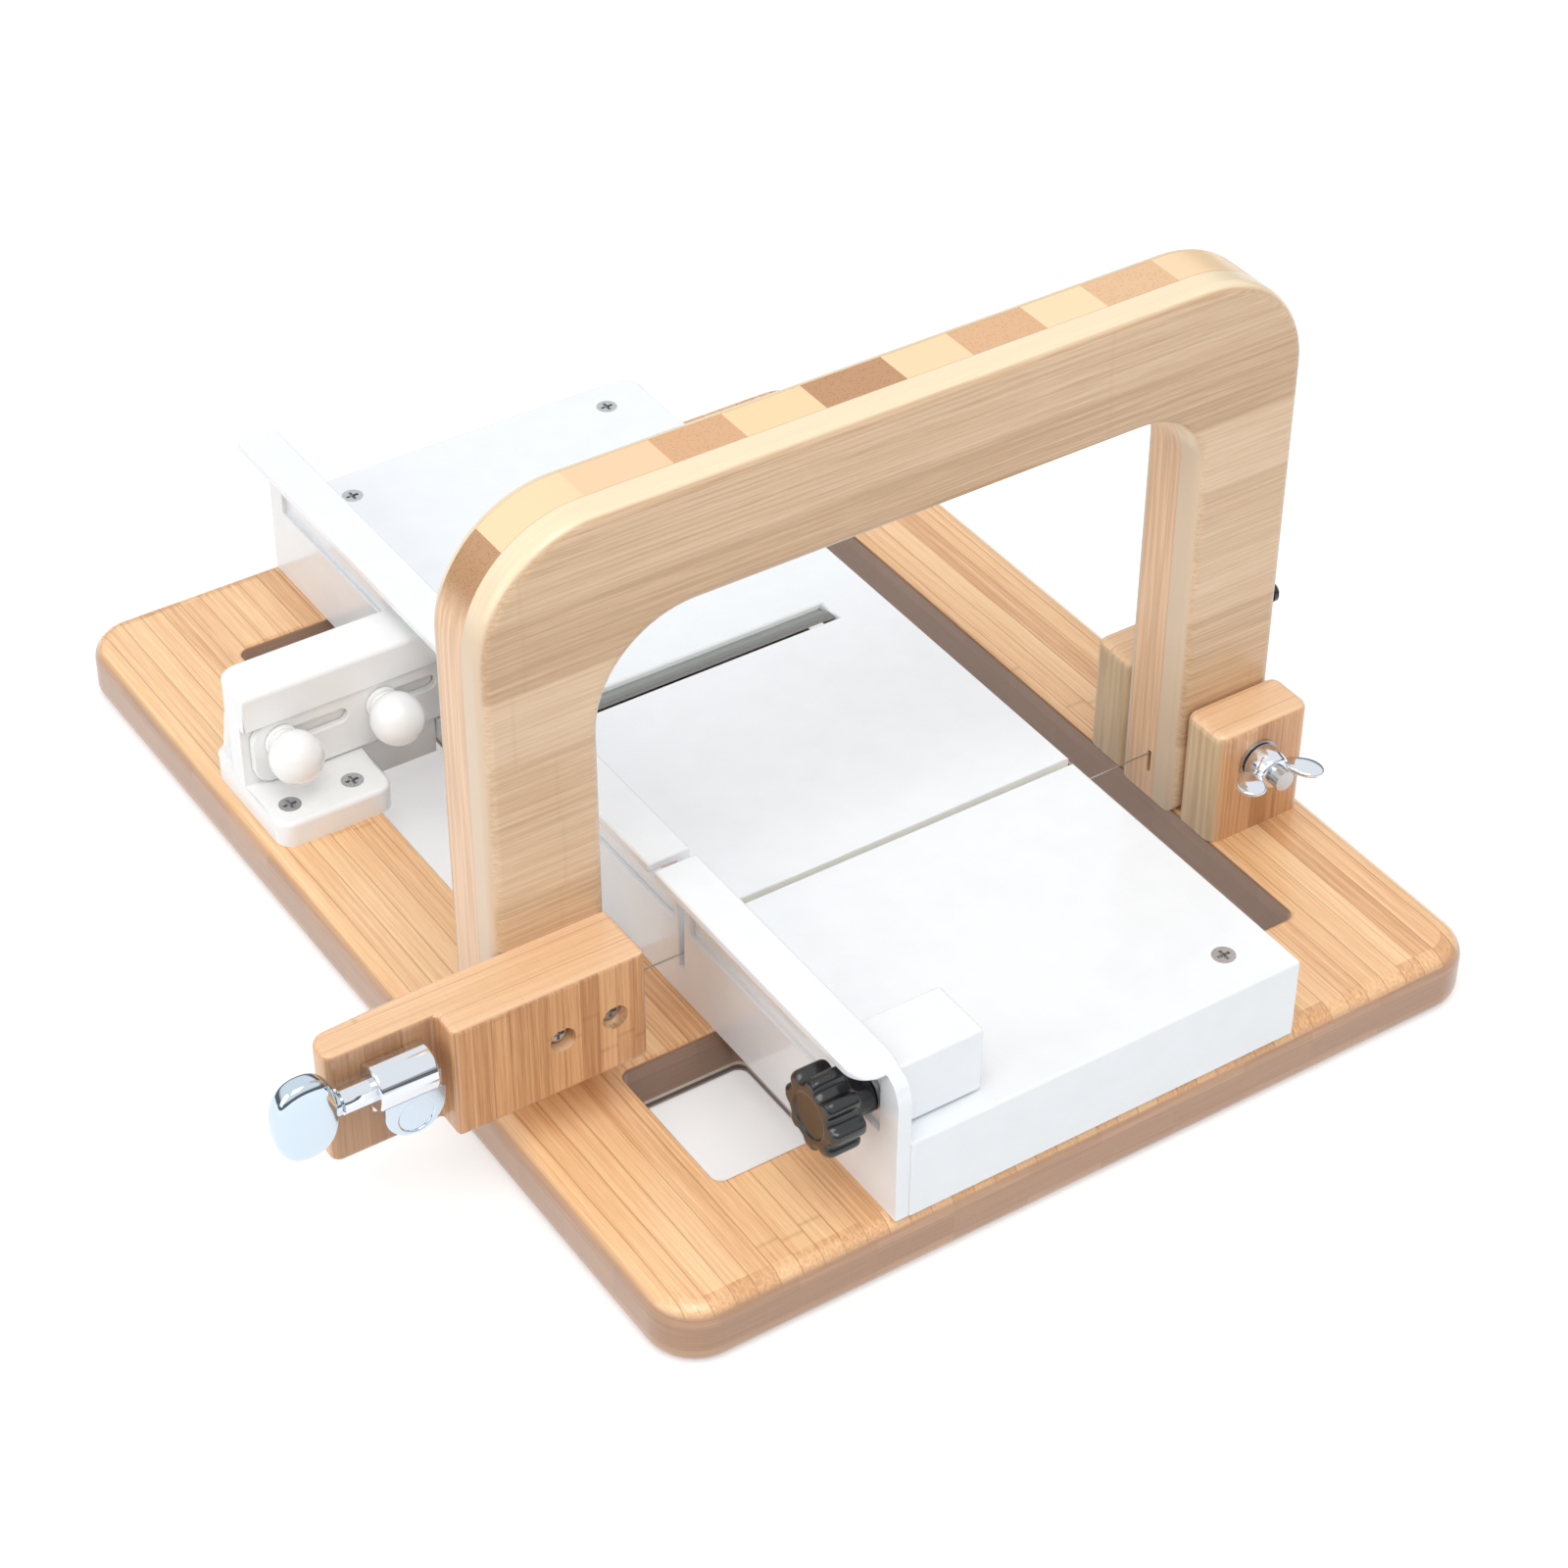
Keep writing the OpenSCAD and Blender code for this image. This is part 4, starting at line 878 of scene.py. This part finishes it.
class Workshop:
    """Holds the loaded frame and the materials, and hangs pieces on bodies."""

    def __init__(self, frame: dict) -> None:
        """Takes the loaded frame and builds every finish."""
        self.nodes: dict[str, bpy.types.Object] = frame["nodes"]
        self.body_of: dict[str, str] = {
            node: body for body, members in frame["record"]["behaviour"]["bodies"].items()
            for node in members}
        effects = EffectLibrary()
        self.materials = {look: look.value.build(effects) for look in Look}

    def paint(self, look: Look, *names: str) -> None:
        """Gives CAD nodes a finish."""
        for name in names:
            self.coat(self.nodes[name], look)
            LOG.info("painted %s", name)

    def coat(self, piece: bpy.types.Object, look: Look) -> None:
        """Gives an object one finish alone."""
        piece.data.materials.clear()
        piece.data.materials.append(self.materials[look])

    def stand_in(self, piece: bpy.types.Object, look: Look, node: str) -> None:
        """Puts a finished piece in a CAD node's place, on the same body.

        Args:
            piece: The new object.
            look: Its finish.
            node: The CAD node that it replaces.
        """
        self.coat(piece, look)
        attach(piece, self.body_of[node])
        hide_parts(node)
        LOG.info("made %s for %s, %d vertices", piece.name, node, len(piece.data.vertices))

    def soften(self, node: str, name: str, look: Look, width: float, rule: Rule,
               segments: int = 3) -> None:
        """Puts a CAD node's own shape in its place with its sharp edges rounded.

        An edge is rounded where its two faces differ by more than MOULD_CREASE and the rule
        gives it a share above zero of the width.

        Args:
            node: The CAD node.
            name: The new piece's name.
            look: Its finish.
            width: The largest rounding, in millimetres.
            rule: Gives each edge's share.
            segments: Steps across the rounding.
        """
        mesh = self.nodes[node].data.copy()
        mesh.name = name
        merged = bmesh.new()
        merged.from_mesh(mesh)
        bmesh.ops.remove_doubles(merged, verts=merged.verts, dist=0.002 * MM)
        bmesh.ops.dissolve_limit(merged, angle_limit=math.radians(0.4), verts=merged.verts,
                                 edges=merged.edges, use_dissolve_boundaries=False)
        merged.to_mesh(mesh)
        merged.free()
        piece = link(name, mesh)
        mesh.shade_smooth()
        mesh.set_sharp_from_angle(angle=MOULD_CREASE)
        edges = Edges.of(mesh)
        share = (edges.angle > MOULD_CREASE) * rule(edges).astype(np.float32)
        weights = mesh.attributes.new("bevel_weight_edge", "FLOAT", "EDGE")
        weights.data.foreach_set("value", np.clip(share, 0.0, 1.0).astype(np.float32))
        for label, kind, settings in (
                ("round_edges", "BEVEL",
                 {"limit_method": "WEIGHT", "width": width * MM, "segments": segments,
                  "use_clamp_overlap": False, "loop_slide": False, "harden_normals": False}),
                ("flat_faces", "WEIGHTED_NORMAL",
                 {"mode": "FACE_AREA", "weight": 90, "keep_sharp": True})):
            modifier = piece.modifiers.new(label, kind)
            for setting, value in settings.items():
                setattr(modifier, setting, value)
        self.stand_in(piece, look, node)


def ring_surface(name: str, grid: np.ndarray) -> bpy.types.Object:
    """Makes a smooth object from rings of points, each closed and joined to the next.

    Args:
        name: The object's name.
        grid: Points in metres, shape (rings, points of a ring, 3).

    Returns:
        The new object.
    """
    rings, columns, _ = grid.shape
    index = np.arange(rings * columns).reshape(rings, columns)
    right = np.roll(index, -1, axis=1)
    quads = np.stack([index[:-1], right[:-1], right[1:], index[1:]], axis=-1).reshape(-1, 4)
    mesh = bpy.data.meshes.new(name)
    mesh.from_pydata(grid.reshape(-1, 3).tolist(), [], quads.tolist())
    tidy = bmesh.new()
    tidy.from_mesh(mesh)
    bmesh.ops.remove_doubles(tidy, verts=tidy.verts, dist=0.001 * MM)
    bmesh.ops.recalc_face_normals(tidy, faces=tidy.faces)
    tidy.to_mesh(mesh)
    tidy.free()
    return smooth_object(mesh)


def lathe(name: str, profile: Profile, axis: int, centre: Sequence[float], steps: int = 64,
          lobes: Callable[[np.ndarray, np.ndarray], np.ndarray] | None = None
          ) -> bpy.types.Object:
    """Turns a profile round an axis: a point at angle a is (r cos a, r sin a, t).

    Args:
        name: The object's name.
        profile: Radius and place along the axis, in millimetres, from one end to the other.
        axis: The axis it turns round, X or Y.
        centre: Where the profile's zero lies.
        steps: Points round the turn.
        lobes: Gives a factor on the radius from the angles and the profile's radii.

    Returns:
        The new object.
    """
    points = np.asarray(profile, float)
    angle = np.linspace(0.0, 2.0 * np.pi, steps, endpoint=False)
    radius, axial = (points[:, column:column + 1] * np.ones_like(angle) for column in (0, 1))
    if lobes is not None:
        radius = radius * lobes(angle[None, :], points[:, :1])
    radial, side = radius * np.cos(angle), radius * np.sin(angle)
    order = {X: (axial, radial, side), Y: (side, axial, radial)}
    return ring_surface(name, (np.stack(order[axis], axis=-1) + np.asarray(centre, float)) * MM)


def rounded_profile(corners: Sequence[Point], steps: int = 5) -> Profile:
    """Rounds the corners of a profile with quadratic curves.

    Near each corner the path is (1-t)^2 a + 2t(1-t) c + t^2 b, where a and b lie on its two sides
    at the corner's own distance.

    Args:
        corners: Radius, place along the axis and rounding distance of each corner.
        steps: Points on each rounding.

    Returns:
        The profile's points.
    """
    points = np.array([corner[:2] for corner in corners], float)
    path: Profile = []
    for number, (radius, place, reach) in enumerate(corners):
        if reach <= 0.0 or number in (0, len(corners) - 1):
            path.append((radius, place))
            continue
        here = points[number]
        sides = [points[number + way] - here for way in (-1, 1)]
        start, finish = (here + side / np.linalg.norm(side) * min(reach, np.linalg.norm(side) / 2)
                         for side in sides)
        share = np.linspace(0.0, 1.0, steps)[:, None]
        curve = (1 - share) ** 2 * start + 2 * share * (1 - share) * here + share**2 * finish
        path += [tuple(point) for point in curve.tolist()]
    return path


def pillow(name: str, outline: np.ndarray, thickness: float, power: float, stand: Stand,
           rings: int = 12) -> bpy.types.Object:
    """Makes a flat rounded body from its outline.

    At share s from the middle to the outline the half thickness is T (1 - s^p)^(1/p); a high
    power p gives flat faces and a tight round edge.

    Args:
        name: The object's name.
        outline: Points of the outline round its middle, shape (n, 2), in millimetres.
        thickness: Full thickness in millimetres.
        power: The exponent p.
        stand: Turns the two flat coordinates and the thickness one into points in metres.
        rings: Rings on each side.

    Returns:
        The new object.
    """
    turn = np.linspace(0.0, np.pi, 2 * rings + 1)
    share = np.sin(turn) ** (2.0 / power)
    half = thickness / 2 * np.sign(np.cos(turn)) * np.abs(np.cos(turn)) ** (2.0 / power)
    flat = share[:, None, None] * outline[None, :, :]
    rise = half[:, None] * np.ones(len(outline))[None, :]
    return ring_surface(name, stand(flat[..., 0], flat[..., 1], rise))


def merge(name: str, parts: Sequence[bpy.types.Object]) -> bpy.types.Object:
    """Joins several objects into one that has a single mesh."""
    joined = bmesh.new()
    for part in parts:
        old = part.data
        joined.from_mesh(old)
        bpy.data.objects.remove(part)
        bpy.data.meshes.remove(old)
    mesh = bpy.data.meshes.new(name)
    joined.to_mesh(mesh)
    joined.free()
    return smooth_object(mesh)


@dataclass(frozen=True)
class BaseBoard:
    """The bamboo board under everything."""

    thickness: float = 18.0
    window_round: float = 1.2
    rail: float = 53.5
    window_end: float = 93.2
    shortest: float = 0.05

    def window_rule(self, edges: Edges) -> np.ndarray:
        """Rounds only the rims of the windows, which lie in the top and bottom faces."""
        rim = edges.at(Z, self.thickness) | edges.at(Z, 0.0)
        out = np.abs(edges.start[:, X])
        return rim & (out > self.rail) & (out < self.window_end) & (edges.length > self.shortest)

    def build(self, shop: Workshop) -> None:
        """Makes the board with softened windows."""
        shop.soften("base_board", "bamboo_board", Look.BOARD, self.window_round,
                    self.window_rule)


@dataclass(frozen=True)
class Deck:
    """The white deck, its screws, and the planer blade under its mouth."""

    edge: float = 0.7
    top: float = 42.6
    upright: float = 20.0
    shortest: float = 0.3
    screw_x: Pair = (-41.8, 47.2)
    screw_y: Pair = (-153.4, 151.6)
    screw_room: float = 5.0
    slot_y: float = -68.0
    slot_half: float = 1.6
    slot_share: float = 0.35

    def moulding_rule(self, edges: Edges) -> np.ndarray:
        """Rounds the outer edges of the moulding and leaves the screw holes and bosses sharp."""
        outer = edges.above(Z, self.top - 0.05)
        outer |= np.abs(edges.start[:, Z] - edges.end[:, Z]) > self.upright
        near = edges.near((X, Y), self.screw_room,
                          *((x, y) for x in self.screw_x for y in self.screw_y))
        slot = np.abs(edges.start[:, Y] - self.slot_y) < self.slot_half
        return np.where(slot, self.slot_share, 1.0) * (
            outer & ~near & (edges.length > self.shortest))

    def build(self, shop: Workshop) -> None:
        """Makes the deck and dresses its hardware."""
        shop.soften("deck_body", "deck_moulding", Look.DECK, self.edge,
                    self.moulding_rule)
        shop.paint(Look.STEEL, "deck_screws", "blade_clamp", "blade_clamp_screws")
        shop.paint(Look.BLADE, "planer_blade")


@dataclass(frozen=True)
class SideFence:
    """The white fence along the left side of the deck."""

    edge: float = 0.6
    flange: float = 63.2
    long: float = 4.0

    def edge_rule(self, edges: Edges) -> np.ndarray:
        """Rounds the flange in full, the other long edges by half, and no short ones."""
        high = edges.above(Z, self.flange)
        return ((edges.length > self.long) | high) * np.where(high, 1.0, 0.5)

    def build(self, shop: Workshop) -> None:
        """Makes the fence."""
        shop.soften("side_fence", "fence_moulding", Look.WHITE, self.edge,
                    self.edge_rule, segments=2)


@dataclass(frozen=True)
class BallKnob:
    """A white ball on a collar, screwed through the trimmer plate."""

    place: Point
    radius: float = 7.75
    reach: float = 9.5
    stud: float = 2.0
    stud_length: float = 8.3
    collar: float = 5.0
    neck: float = 4.0

    def profile(self) -> Profile:
        """Gives stud, collar, neck and ball, outward from the plate's face."""
        angles = np.linspace(math.asin(self.neck / self.radius), math.pi, 22)
        ball = [(self.radius * math.sin(angle), self.reach - self.radius * math.cos(angle))
                for angle in angles]
        return rounded_profile([
            (0.0, -self.stud_length, 0.0), (self.stud, -self.stud_length, 0.4),
            (self.stud, 0.3, 0.0), (self.collar, 0.3, 0.3), (self.collar, 1.6, 0.4),
            (self.neck, 1.6, 0.0)]) + ball

    def build(self, shop: Workshop, node: str, name: str) -> None:
        """Makes the knob for its node, standing out along -Y."""
        turned = [(radius, -along) for radius, along in self.profile()]
        shop.stand_in(lathe(name, turned, Y, self.place), Look.IVORY, node)


@dataclass(frozen=True)
class BevelTrimmer:
    """The white bracket, sliding plate, ball knobs and slanted blade beside the fence."""

    edge: float = 1.3
    plate_edge: float = 0.4
    bar_foot: float = 57.5
    foot_top: float = 26.0
    foot_rear: float = 63.3
    front: float = 60.7
    plate_front: float = 61.7
    plate_right: float = -62.0
    knob_z: float = 39.8
    left_x: float = -112.6
    right_x: float = -81.2
    foot_bores: tuple[Pair, ...] = ((-116.7, 50.6), (-97.3, 50.6))
    bore_room: float = 4.5
    front_length: float = 5.0
    front_share: float = 0.35

    def bracket_rule(self, edges: Edges) -> np.ndarray:
        """Rounds the bracket's outer edges, less where its front wall meets other faces."""
        bar = edges.above(Z, self.bar_foot)
        foot = edges.at(Z, self.foot_top) & edges.below(Y, self.foot_rear)
        hole = edges.near((X, Y), self.bore_room, *self.foot_bores)
        front = edges.at(Y, self.front) & (edges.length > self.front_length)
        return ((bar | foot) & ~hole) + (front & ~bar) * self.front_share

    def plate_rule(self, edges: Edges) -> np.ndarray:
        """Rounds the front edges of the plate."""
        return edges.at(Y, self.plate_front) & (edges.start[:, X] < self.plate_right)

    def build(self, shop: Workshop) -> None:
        """Makes the trimmer's pieces."""
        shop.soften("bevel_bracket", "trimmer_bracket", Look.IVORY, self.edge,
                    self.bracket_rule)
        shop.soften("bevel_plate", "trimmer_plate", Look.IVORY,
                    self.plate_edge, self.plate_rule)
        for side, x in (("left", self.left_x), ("right", self.right_x)):
            knob = BallKnob((x, self.plate_front, self.knob_z))
            knob.build(shop, f"bevel_knob_{side}", f"trimmer_knob_{side}")
        shop.paint(Look.STEEL, "bevel_bracket_screws", "bevel_blade_screws")
        shop.paint(Look.BLADE, "bevel_blade")


@dataclass(frozen=True)
class Stop:
    """The sliding stop with its stud, washer and black star knob."""

    edge: float = 0.8
    long: float = 10.0
    knob_place: Point = (-70.0, -152.0, 51.4)
    thickness: float = 10.0
    radius: float = 11.5
    collar_radius: float = 5.5
    collar_end: float = 6.4
    bore: float = 2.55
    lobes: int = 8
    lobe_depth: float = 0.105
    lobe_tightness: float = 2.0
    lobe_inside: float = 7.0
    lobe_rise: float = 4.0

    def lobe_factor(self, angle: np.ndarray, radius: np.ndarray) -> np.ndarray:
        """Gives 1 - d + d tanh(k cos(n a)) / tanh(k), where d fades out towards the hub."""
        depth = np.clip((radius - self.lobe_inside) / self.lobe_rise, 0.0, 1.0) * self.lobe_depth
        wave = np.tanh(self.lobe_tightness * np.cos(self.lobes * angle))
        return 1.0 - depth + depth * wave / math.tanh(self.lobe_tightness)

    def knob(self) -> bpy.types.Object:
        """Makes the knob: dished outer face, lobed rim and a collar towards the fence."""
        face, big, collar = -self.thickness, self.radius, self.collar_radius
        profile = rounded_profile([
            (0.0, face + 0.6, 0.0), (6.0, face + 0.6, 0.4), (6.6, face, 0.5), (big, face, 2.4),
            (big, 0.0, 2.0), (collar + 1.4, 0.0, 0.8), (collar, 0.8, 0.6),
            (collar, self.collar_end, 0.3), (self.bore, self.collar_end, 0.0),
            (self.bore, face + 1.0, 0.0), (0.0, face + 1.0, 0.0)], steps=7)
        return lathe("star_knob_moulding", profile, X, self.knob_place, 192, self.lobe_factor)

    def build(self, shop: Workshop) -> None:
        """Makes the stop's pieces."""
        shop.soften("stop_block", "stop_moulding", Look.WHITE, self.edge,
                    lambda edges: edges.length > self.long)
        shop.stand_in(self.knob(), Look.BLACK, "star_knob")
        shop.paint(Look.STEEL, "stop_stud", "stop_washer")


@dataclass(frozen=True)
class Pivot:
    """The two blocks, the bolt and the wing nut at the right foot of the arch."""

    x: float = 105.5
    z: float = 42.6
    nut_face: float = -96.3
    bore: float = 3.05
    tilt: float = -7.0
    lean: float = 52.0
    wing_size: float = 4.7
    wing_thickness: float = 2.2
    wing_out: float = 8.3
    wing_along: float = 6.2

    def hub(self) -> bpy.types.Object:
        """Makes the hub of the wing nut, outward from its seat."""
        profile = rounded_profile([(self.bore, 0.0, 0.0), (5.75, 0.0, 0.5), (5.5, 4.0, 0.6),
                                   (4.7, 7.0, 1.0), (self.bore, 7.0, 0.0), (self.bore, 0.0, 0.0)])
        return lathe("wing_nut_hub", [(radius, -along) for radius, along in profile], Y,
                     (self.x, self.nut_face, self.z), steps=48)

    def wing(self, name: str, turn: float) -> bpy.types.Object:
        """Makes one wing, which leans outward.

        Its outline is a drop: at angle b from the lean its radius is
        wing_size (1 + 0.3 cos b) (1 + 0.22 cos 2b).
        """
        angle = np.linspace(0.0, 2.0 * np.pi, 40, endpoint=False)
        from_lean = angle - math.radians(self.lean)
        reach = (self.wing_size * (1.0 + 0.3 * np.cos(from_lean))
                 * (1.0 + 0.22 * np.cos(2 * from_lean)))
        outline = np.stack([reach * np.cos(angle), reach * np.sin(angle)], axis=-1)
        cos, sin = math.cos(math.radians(turn)), math.sin(math.radians(turn))

        def stand(out: np.ndarray, along: np.ndarray, thick: np.ndarray) -> np.ndarray:
            """Stands the wing on its radius."""
            radius = out + self.wing_out
            return np.stack([radius * cos - thick * sin + self.x,
                             self.nut_face - (along + self.wing_along),
                             radius * sin + thick * cos + self.z], axis=-1) * MM

        return pillow(name, outline, self.wing_thickness, 3.0, stand)

    def build(self, shop: Workshop) -> None:
        """Makes the pivot's pieces."""
        shop.paint(Look.BLOCK, "pivot_block_front")
        shop.paint(Look.REAR_BLOCK, "pivot_block_rear")
        shop.paint(Look.STEEL, "pivot_block_screws", "pivot_bolt", "pivot_washer")
        parts = [self.hub(), self.wing("wing_a", self.tilt),
                 self.wing("wing_b", self.tilt + 180.0)]
        shop.stand_in(merge("wing_nut_casting", parts), Look.CHROME, "wing_nut")


@dataclass(frozen=True)
class Arch:
    """The laminated arch with its small hardware and the cutting wire."""

    front: float = -78.9
    rear: float = -55.7
    edge: float = 3.0
    pivot_bore: Pair = (105.5, 42.6)
    bore_room: float = 4.5
    wire_recess: Pair = (94.6, 32.7)
    recess_room: float = 5.0
    arm_screw_z: float = 52.2
    screw_room: float = 4.0
    leg_outside: float = 119.0
    short: float = 4.0

    def edge_rule(self, edges: Edges) -> np.ndarray:
        """Rounds the outline of the front and rear faces and leaves bores and recess sharp."""
        near = (edges.near((X, Z), self.bore_room, self.pivot_bore)
                | edges.near((X, Z), self.recess_room, self.wire_recess))
        near |= ((np.abs(edges.start[:, Z] - self.arm_screw_z) < self.screw_room)
                 & (np.abs(edges.start[:, X]) < self.leg_outside))
        near &= edges.length < self.short
        return (edges.at(Y, self.front) | edges.at(Y, self.rear)) & ~near

    def build(self, shop: Workshop) -> None:
        """Makes the arch and dresses its hardware."""
        shop.soften("arch_frame", "arch_lamination", Look.ARCH, self.edge,
                    self.edge_rule, segments=5)
        shop.paint(Look.WIRE, "cutting_wire")
        shop.paint(Look.STEEL, "wire_anchor_screw")
        shop.paint(Look.BLACK, "side_screw")


@dataclass(frozen=True)
class Tuner:
    """The arm block with the geared tuner that keeps the wire tight."""

    gear: Pair = (-157.6, 51.75)
    worm: Pair = (-93.9, 59.75)
    arm_bores: tuple[Pair, ...] = ((-115.9, 52.2), (-100.9, 52.2))
    arm_bore_room: float = 4.2
    gear_room: float = 5.0
    arm_edge: float = 1.5
    leg_front: float = -78.9
    leg_left: float = -123.6
    tube_ends: Pair = (-167.1, -151.1)
    tube_bore: float = 5.7
    tube_edge: float = 0.7
    cover_front: float = -98.3
    cover_top: float = 54.6
    cover_edge: float = 0.4
    button_x: float = -185.1
    button_size: Pair = (17.0, 24.0)
    button_thickness: float = 8.0
    button_power: float = 2.35
    neck: float = 3.2

    def arm_rule(self, edges: Edges) -> np.ndarray:
        """Rounds the block's long edges; its bores and the face on the leg stay sharp."""
        near = (edges.near((X, Z), self.arm_bore_room, *self.arm_bores)
                | edges.near((X, Z), self.gear_room, self.gear))
        on_leg = ((np.abs(edges.start[:, Y] - self.leg_front) < TOUCH)
                  & (edges.start[:, X] > self.leg_left))
        return ~near & ~on_leg

    def cover_rule(self, edges: Edges) -> np.ndarray:
        """Rounds the rims of the cover on its front face, below the tube."""
        return edges.at(Y, self.cover_front) & edges.below(Z, self.cover_top)

    def housing_rule(self, edges: Edges) -> np.ndarray:
        """Rounds the two ends of the tube, outside the bore."""
        first, second = (edges.at(X, end) for end in self.tube_ends)
        return (first | second) & ~edges.near((Y, Z), self.tube_bore, self.worm)

    def button(self) -> bpy.types.Object:
        """Makes the thumb button: a flat oval with round edges, and a neck on the shaft."""
        angle = np.linspace(0.0, 2.0 * np.pi, 72, endpoint=False)
        outline = np.stack([size / 2 * np.sign(turn) * np.abs(turn) ** (2.0 / self.button_power)
                            for size, turn in zip(self.button_size,
                                                  (np.cos(angle), np.sin(angle)))], axis=-1)
        centre = (self.button_x, *self.worm)

        def stand(across: np.ndarray, up: np.ndarray, thick: np.ndarray) -> np.ndarray:
            """Stands the button on the shaft's end."""
            return (np.stack([across, thick, up], axis=-1) + centre) * MM

        body = pillow("button_body", outline, self.button_thickness, 3.6, stand, rings=14)
        neck = lathe("button_neck", rounded_profile([
            (0.0, 5.0, 0.0), (self.neck, 5.0, 0.0), (self.neck, 9.1, 0.4), (0.0, 9.1, 0.0)]),
            X, centre, steps=32)
        return merge("thumb_button", [body, neck])

    def build(self, shop: Workshop) -> None:
        """Makes the tuner's pieces."""
        shop.soften("arm_block", "arm_bamboo_block", Look.ARM, self.arm_edge,
                    self.arm_rule)
        shop.soften("tuner_cover", "tuner_cap", Look.BUTTON, self.cover_edge,
                    self.cover_rule)
        shop.soften("tuner_housing", "tuner_case", Look.CHROME, self.tube_edge,
                    self.housing_rule)
        shop.stand_in(self.button(), Look.BUTTON, "tuner_button")
        shop.paint(Look.CHROME, "tuner_bush", "tuner_washer", "string_post")
        shop.paint(Look.STEEL, "arm_screws", "tuner_shaft", "button_screw", "gear_screw")
        shop.paint(Look.BRASS, "tuner_gear")


@dataclass(frozen=True)
class PhotoCamera:
    """The camera, solved from the vanishing points of the photograph."""

    focal: float = 85.086
    film: float = 36.0
    nearest: float = 0.01
    place: Point = (-439.71, -684.11, 674.77)
    right: Point = (0.83525, -0.54986, 0.00332)
    down: Point = (-0.34402, -0.52726, -0.77695)
    forward: Point = (0.42896, 0.64781, -0.62955)

    def build(self) -> None:
        """Sets the scene's camera."""
        lens = bpy.data.cameras.new("photo_camera")
        lens.lens = self.focal
        lens.sensor_width = self.film
        lens.clip_start = self.nearest
        turn = Matrix((self.right, [-part for part in self.down],
                       [-part for part in self.forward])).transposed().to_4x4()
        camera = link("photo_camera", lens)
        camera.matrix_world = Matrix.Translation(Vector(self.place) * MM) @ turn
        bpy.context.scene.camera = camera


@dataclass(frozen=True)
class Lamp:
    """A square soft lamp that looks at the middle of the object; its lengths are in metres."""

    name: str
    place: Point
    size: float
    power: float
    aim: Point = (0.0, 0.0, 0.05)

    def build(self) -> None:
        """Hangs the lamp."""
        data = bpy.data.lights.new(self.name, "AREA")
        data.shape = "SQUARE"
        data.size = self.size
        data.energy = self.power
        towards = Vector(self.aim) - Vector(self.place)
        link(self.name, data).matrix_world = (
            Matrix.Translation(Vector(self.place))
            @ towards.to_track_quat("-Z", "Y").to_matrix().to_4x4())


@dataclass(frozen=True)
class Studio:
    """A pale floor under even light, with one soft lamp overhead and one at the left."""

    floor_half: float = 3.0
    floor_grey: float = 0.72
    floor_glow: float = 0.42
    sky: float = 0.77
    dim: float = 0.16
    horizon: Pair = (0.2, 0.42)
    tint: Rgba = (0.97, 0.985, 1.0, 1.0)
    lamps: tuple[Lamp, ...] = (Lamp("key_lamp", (-0.3, -0.65, 1.6), 1.0, 10.2),
                               Lamp("fill_lamp", (-1.4, -0.1, 0.8), 1.2, 5.0))

    def floor(self) -> None:
        """Lays the floor, which the camera sees as white with a soft shadow."""
        mesh = bpy.data.meshes.new("studio_floor")
        corners = [(self.floor_half * x, self.floor_half * y, 0.0)
                   for x, y in ((-1, -1), (1, -1), (1, 1), (-1, 1))]
        mesh.from_pydata(corners, [], [(0, 1, 2, 3)])
        material = bpy.data.materials.new("studio_floor")
        shader = ShaderTree.emptied(material)
        rays = shader.add("LightPath").outputs
        seen = shader.math("MAXIMUM", rays["Is Camera Ray"], shader.math(
            "MAXIMUM", rays["Is Glossy Ray"], rays["Is Transmission Ray"]))
        matte = shader.add("BsdfDiffuse", {"Color": (self.floor_grey,) * 3 + (1.0,)})
        glow = shader.add("Emission", {"Color": WHITE,
                                       "Strength": shader.times(seen, self.floor_glow)})
        both = shader.add("AddShader", {0: matte.outputs[0], 1: glow.outputs[0]})
        shader.add("OutputMaterial", {"Surface": both.outputs[0]})
        mesh.materials.append(material)
        floor = link("studio_floor", mesh)

    def world(self) -> None:
        """Sets even light, white behind the object and overhead in its reflections.

        Reflections also see a dim band low round the room, as the walls of a studio give.
        """
        world = bpy.data.worlds.new("studio_world")
        bpy.context.scene.world = world
        shader = ShaderTree.emptied(world)
        rays = shader.add("LightPath").outputs
        seen = shader.math("MAXIMUM", rays["Is Camera Ray"], rays["Is Transmission Ray"])
        mirrored = rays["Is Glossy Ray"]
        rise = shader.step(shader.split(shader.add("TexCoord").outputs["Generated"])["Z"],
                           *self.horizon)
        overhead = shader.plus(self.dim, shader.times(rise, 1.0 - self.dim))
        plain = shader.plus(self.sky, shader.times(seen, 1.0 - self.sky))
        level = shader.plus(shader.times(mirrored, overhead),
                            shader.times(shader.minus(1.0, mirrored), plain))
        light = shader.add("Background", {"Color": self.tint, "Strength": level})
        shader.add("OutputWorld", {"Surface": light.outputs[0]})

    def build(self) -> None:
        """Sets the floor, the light and the view."""
        self.floor()
        self.world()
        for lamp in self.lamps:
            lamp.build()
        bpy.context.scene.view_settings.view_transform = "Standard"


def main() -> None:
    """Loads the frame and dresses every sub-assembly."""
    logging.basicConfig(level=logging.INFO, format="%(name)s: %(message)s")
    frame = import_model()
    PhotoCamera().build()
    shop = Workshop(frame)
    for assembly in (BaseBoard(), Deck(), SideFence(), BevelTrimmer(), Stop(), Pivot(), Arch(),
                     Tuner()):
        assembly.build(shop)
        LOG.info("finished %s", type(assembly).__name__)
    Studio().build()


if __name__ == "__main__":
    main()
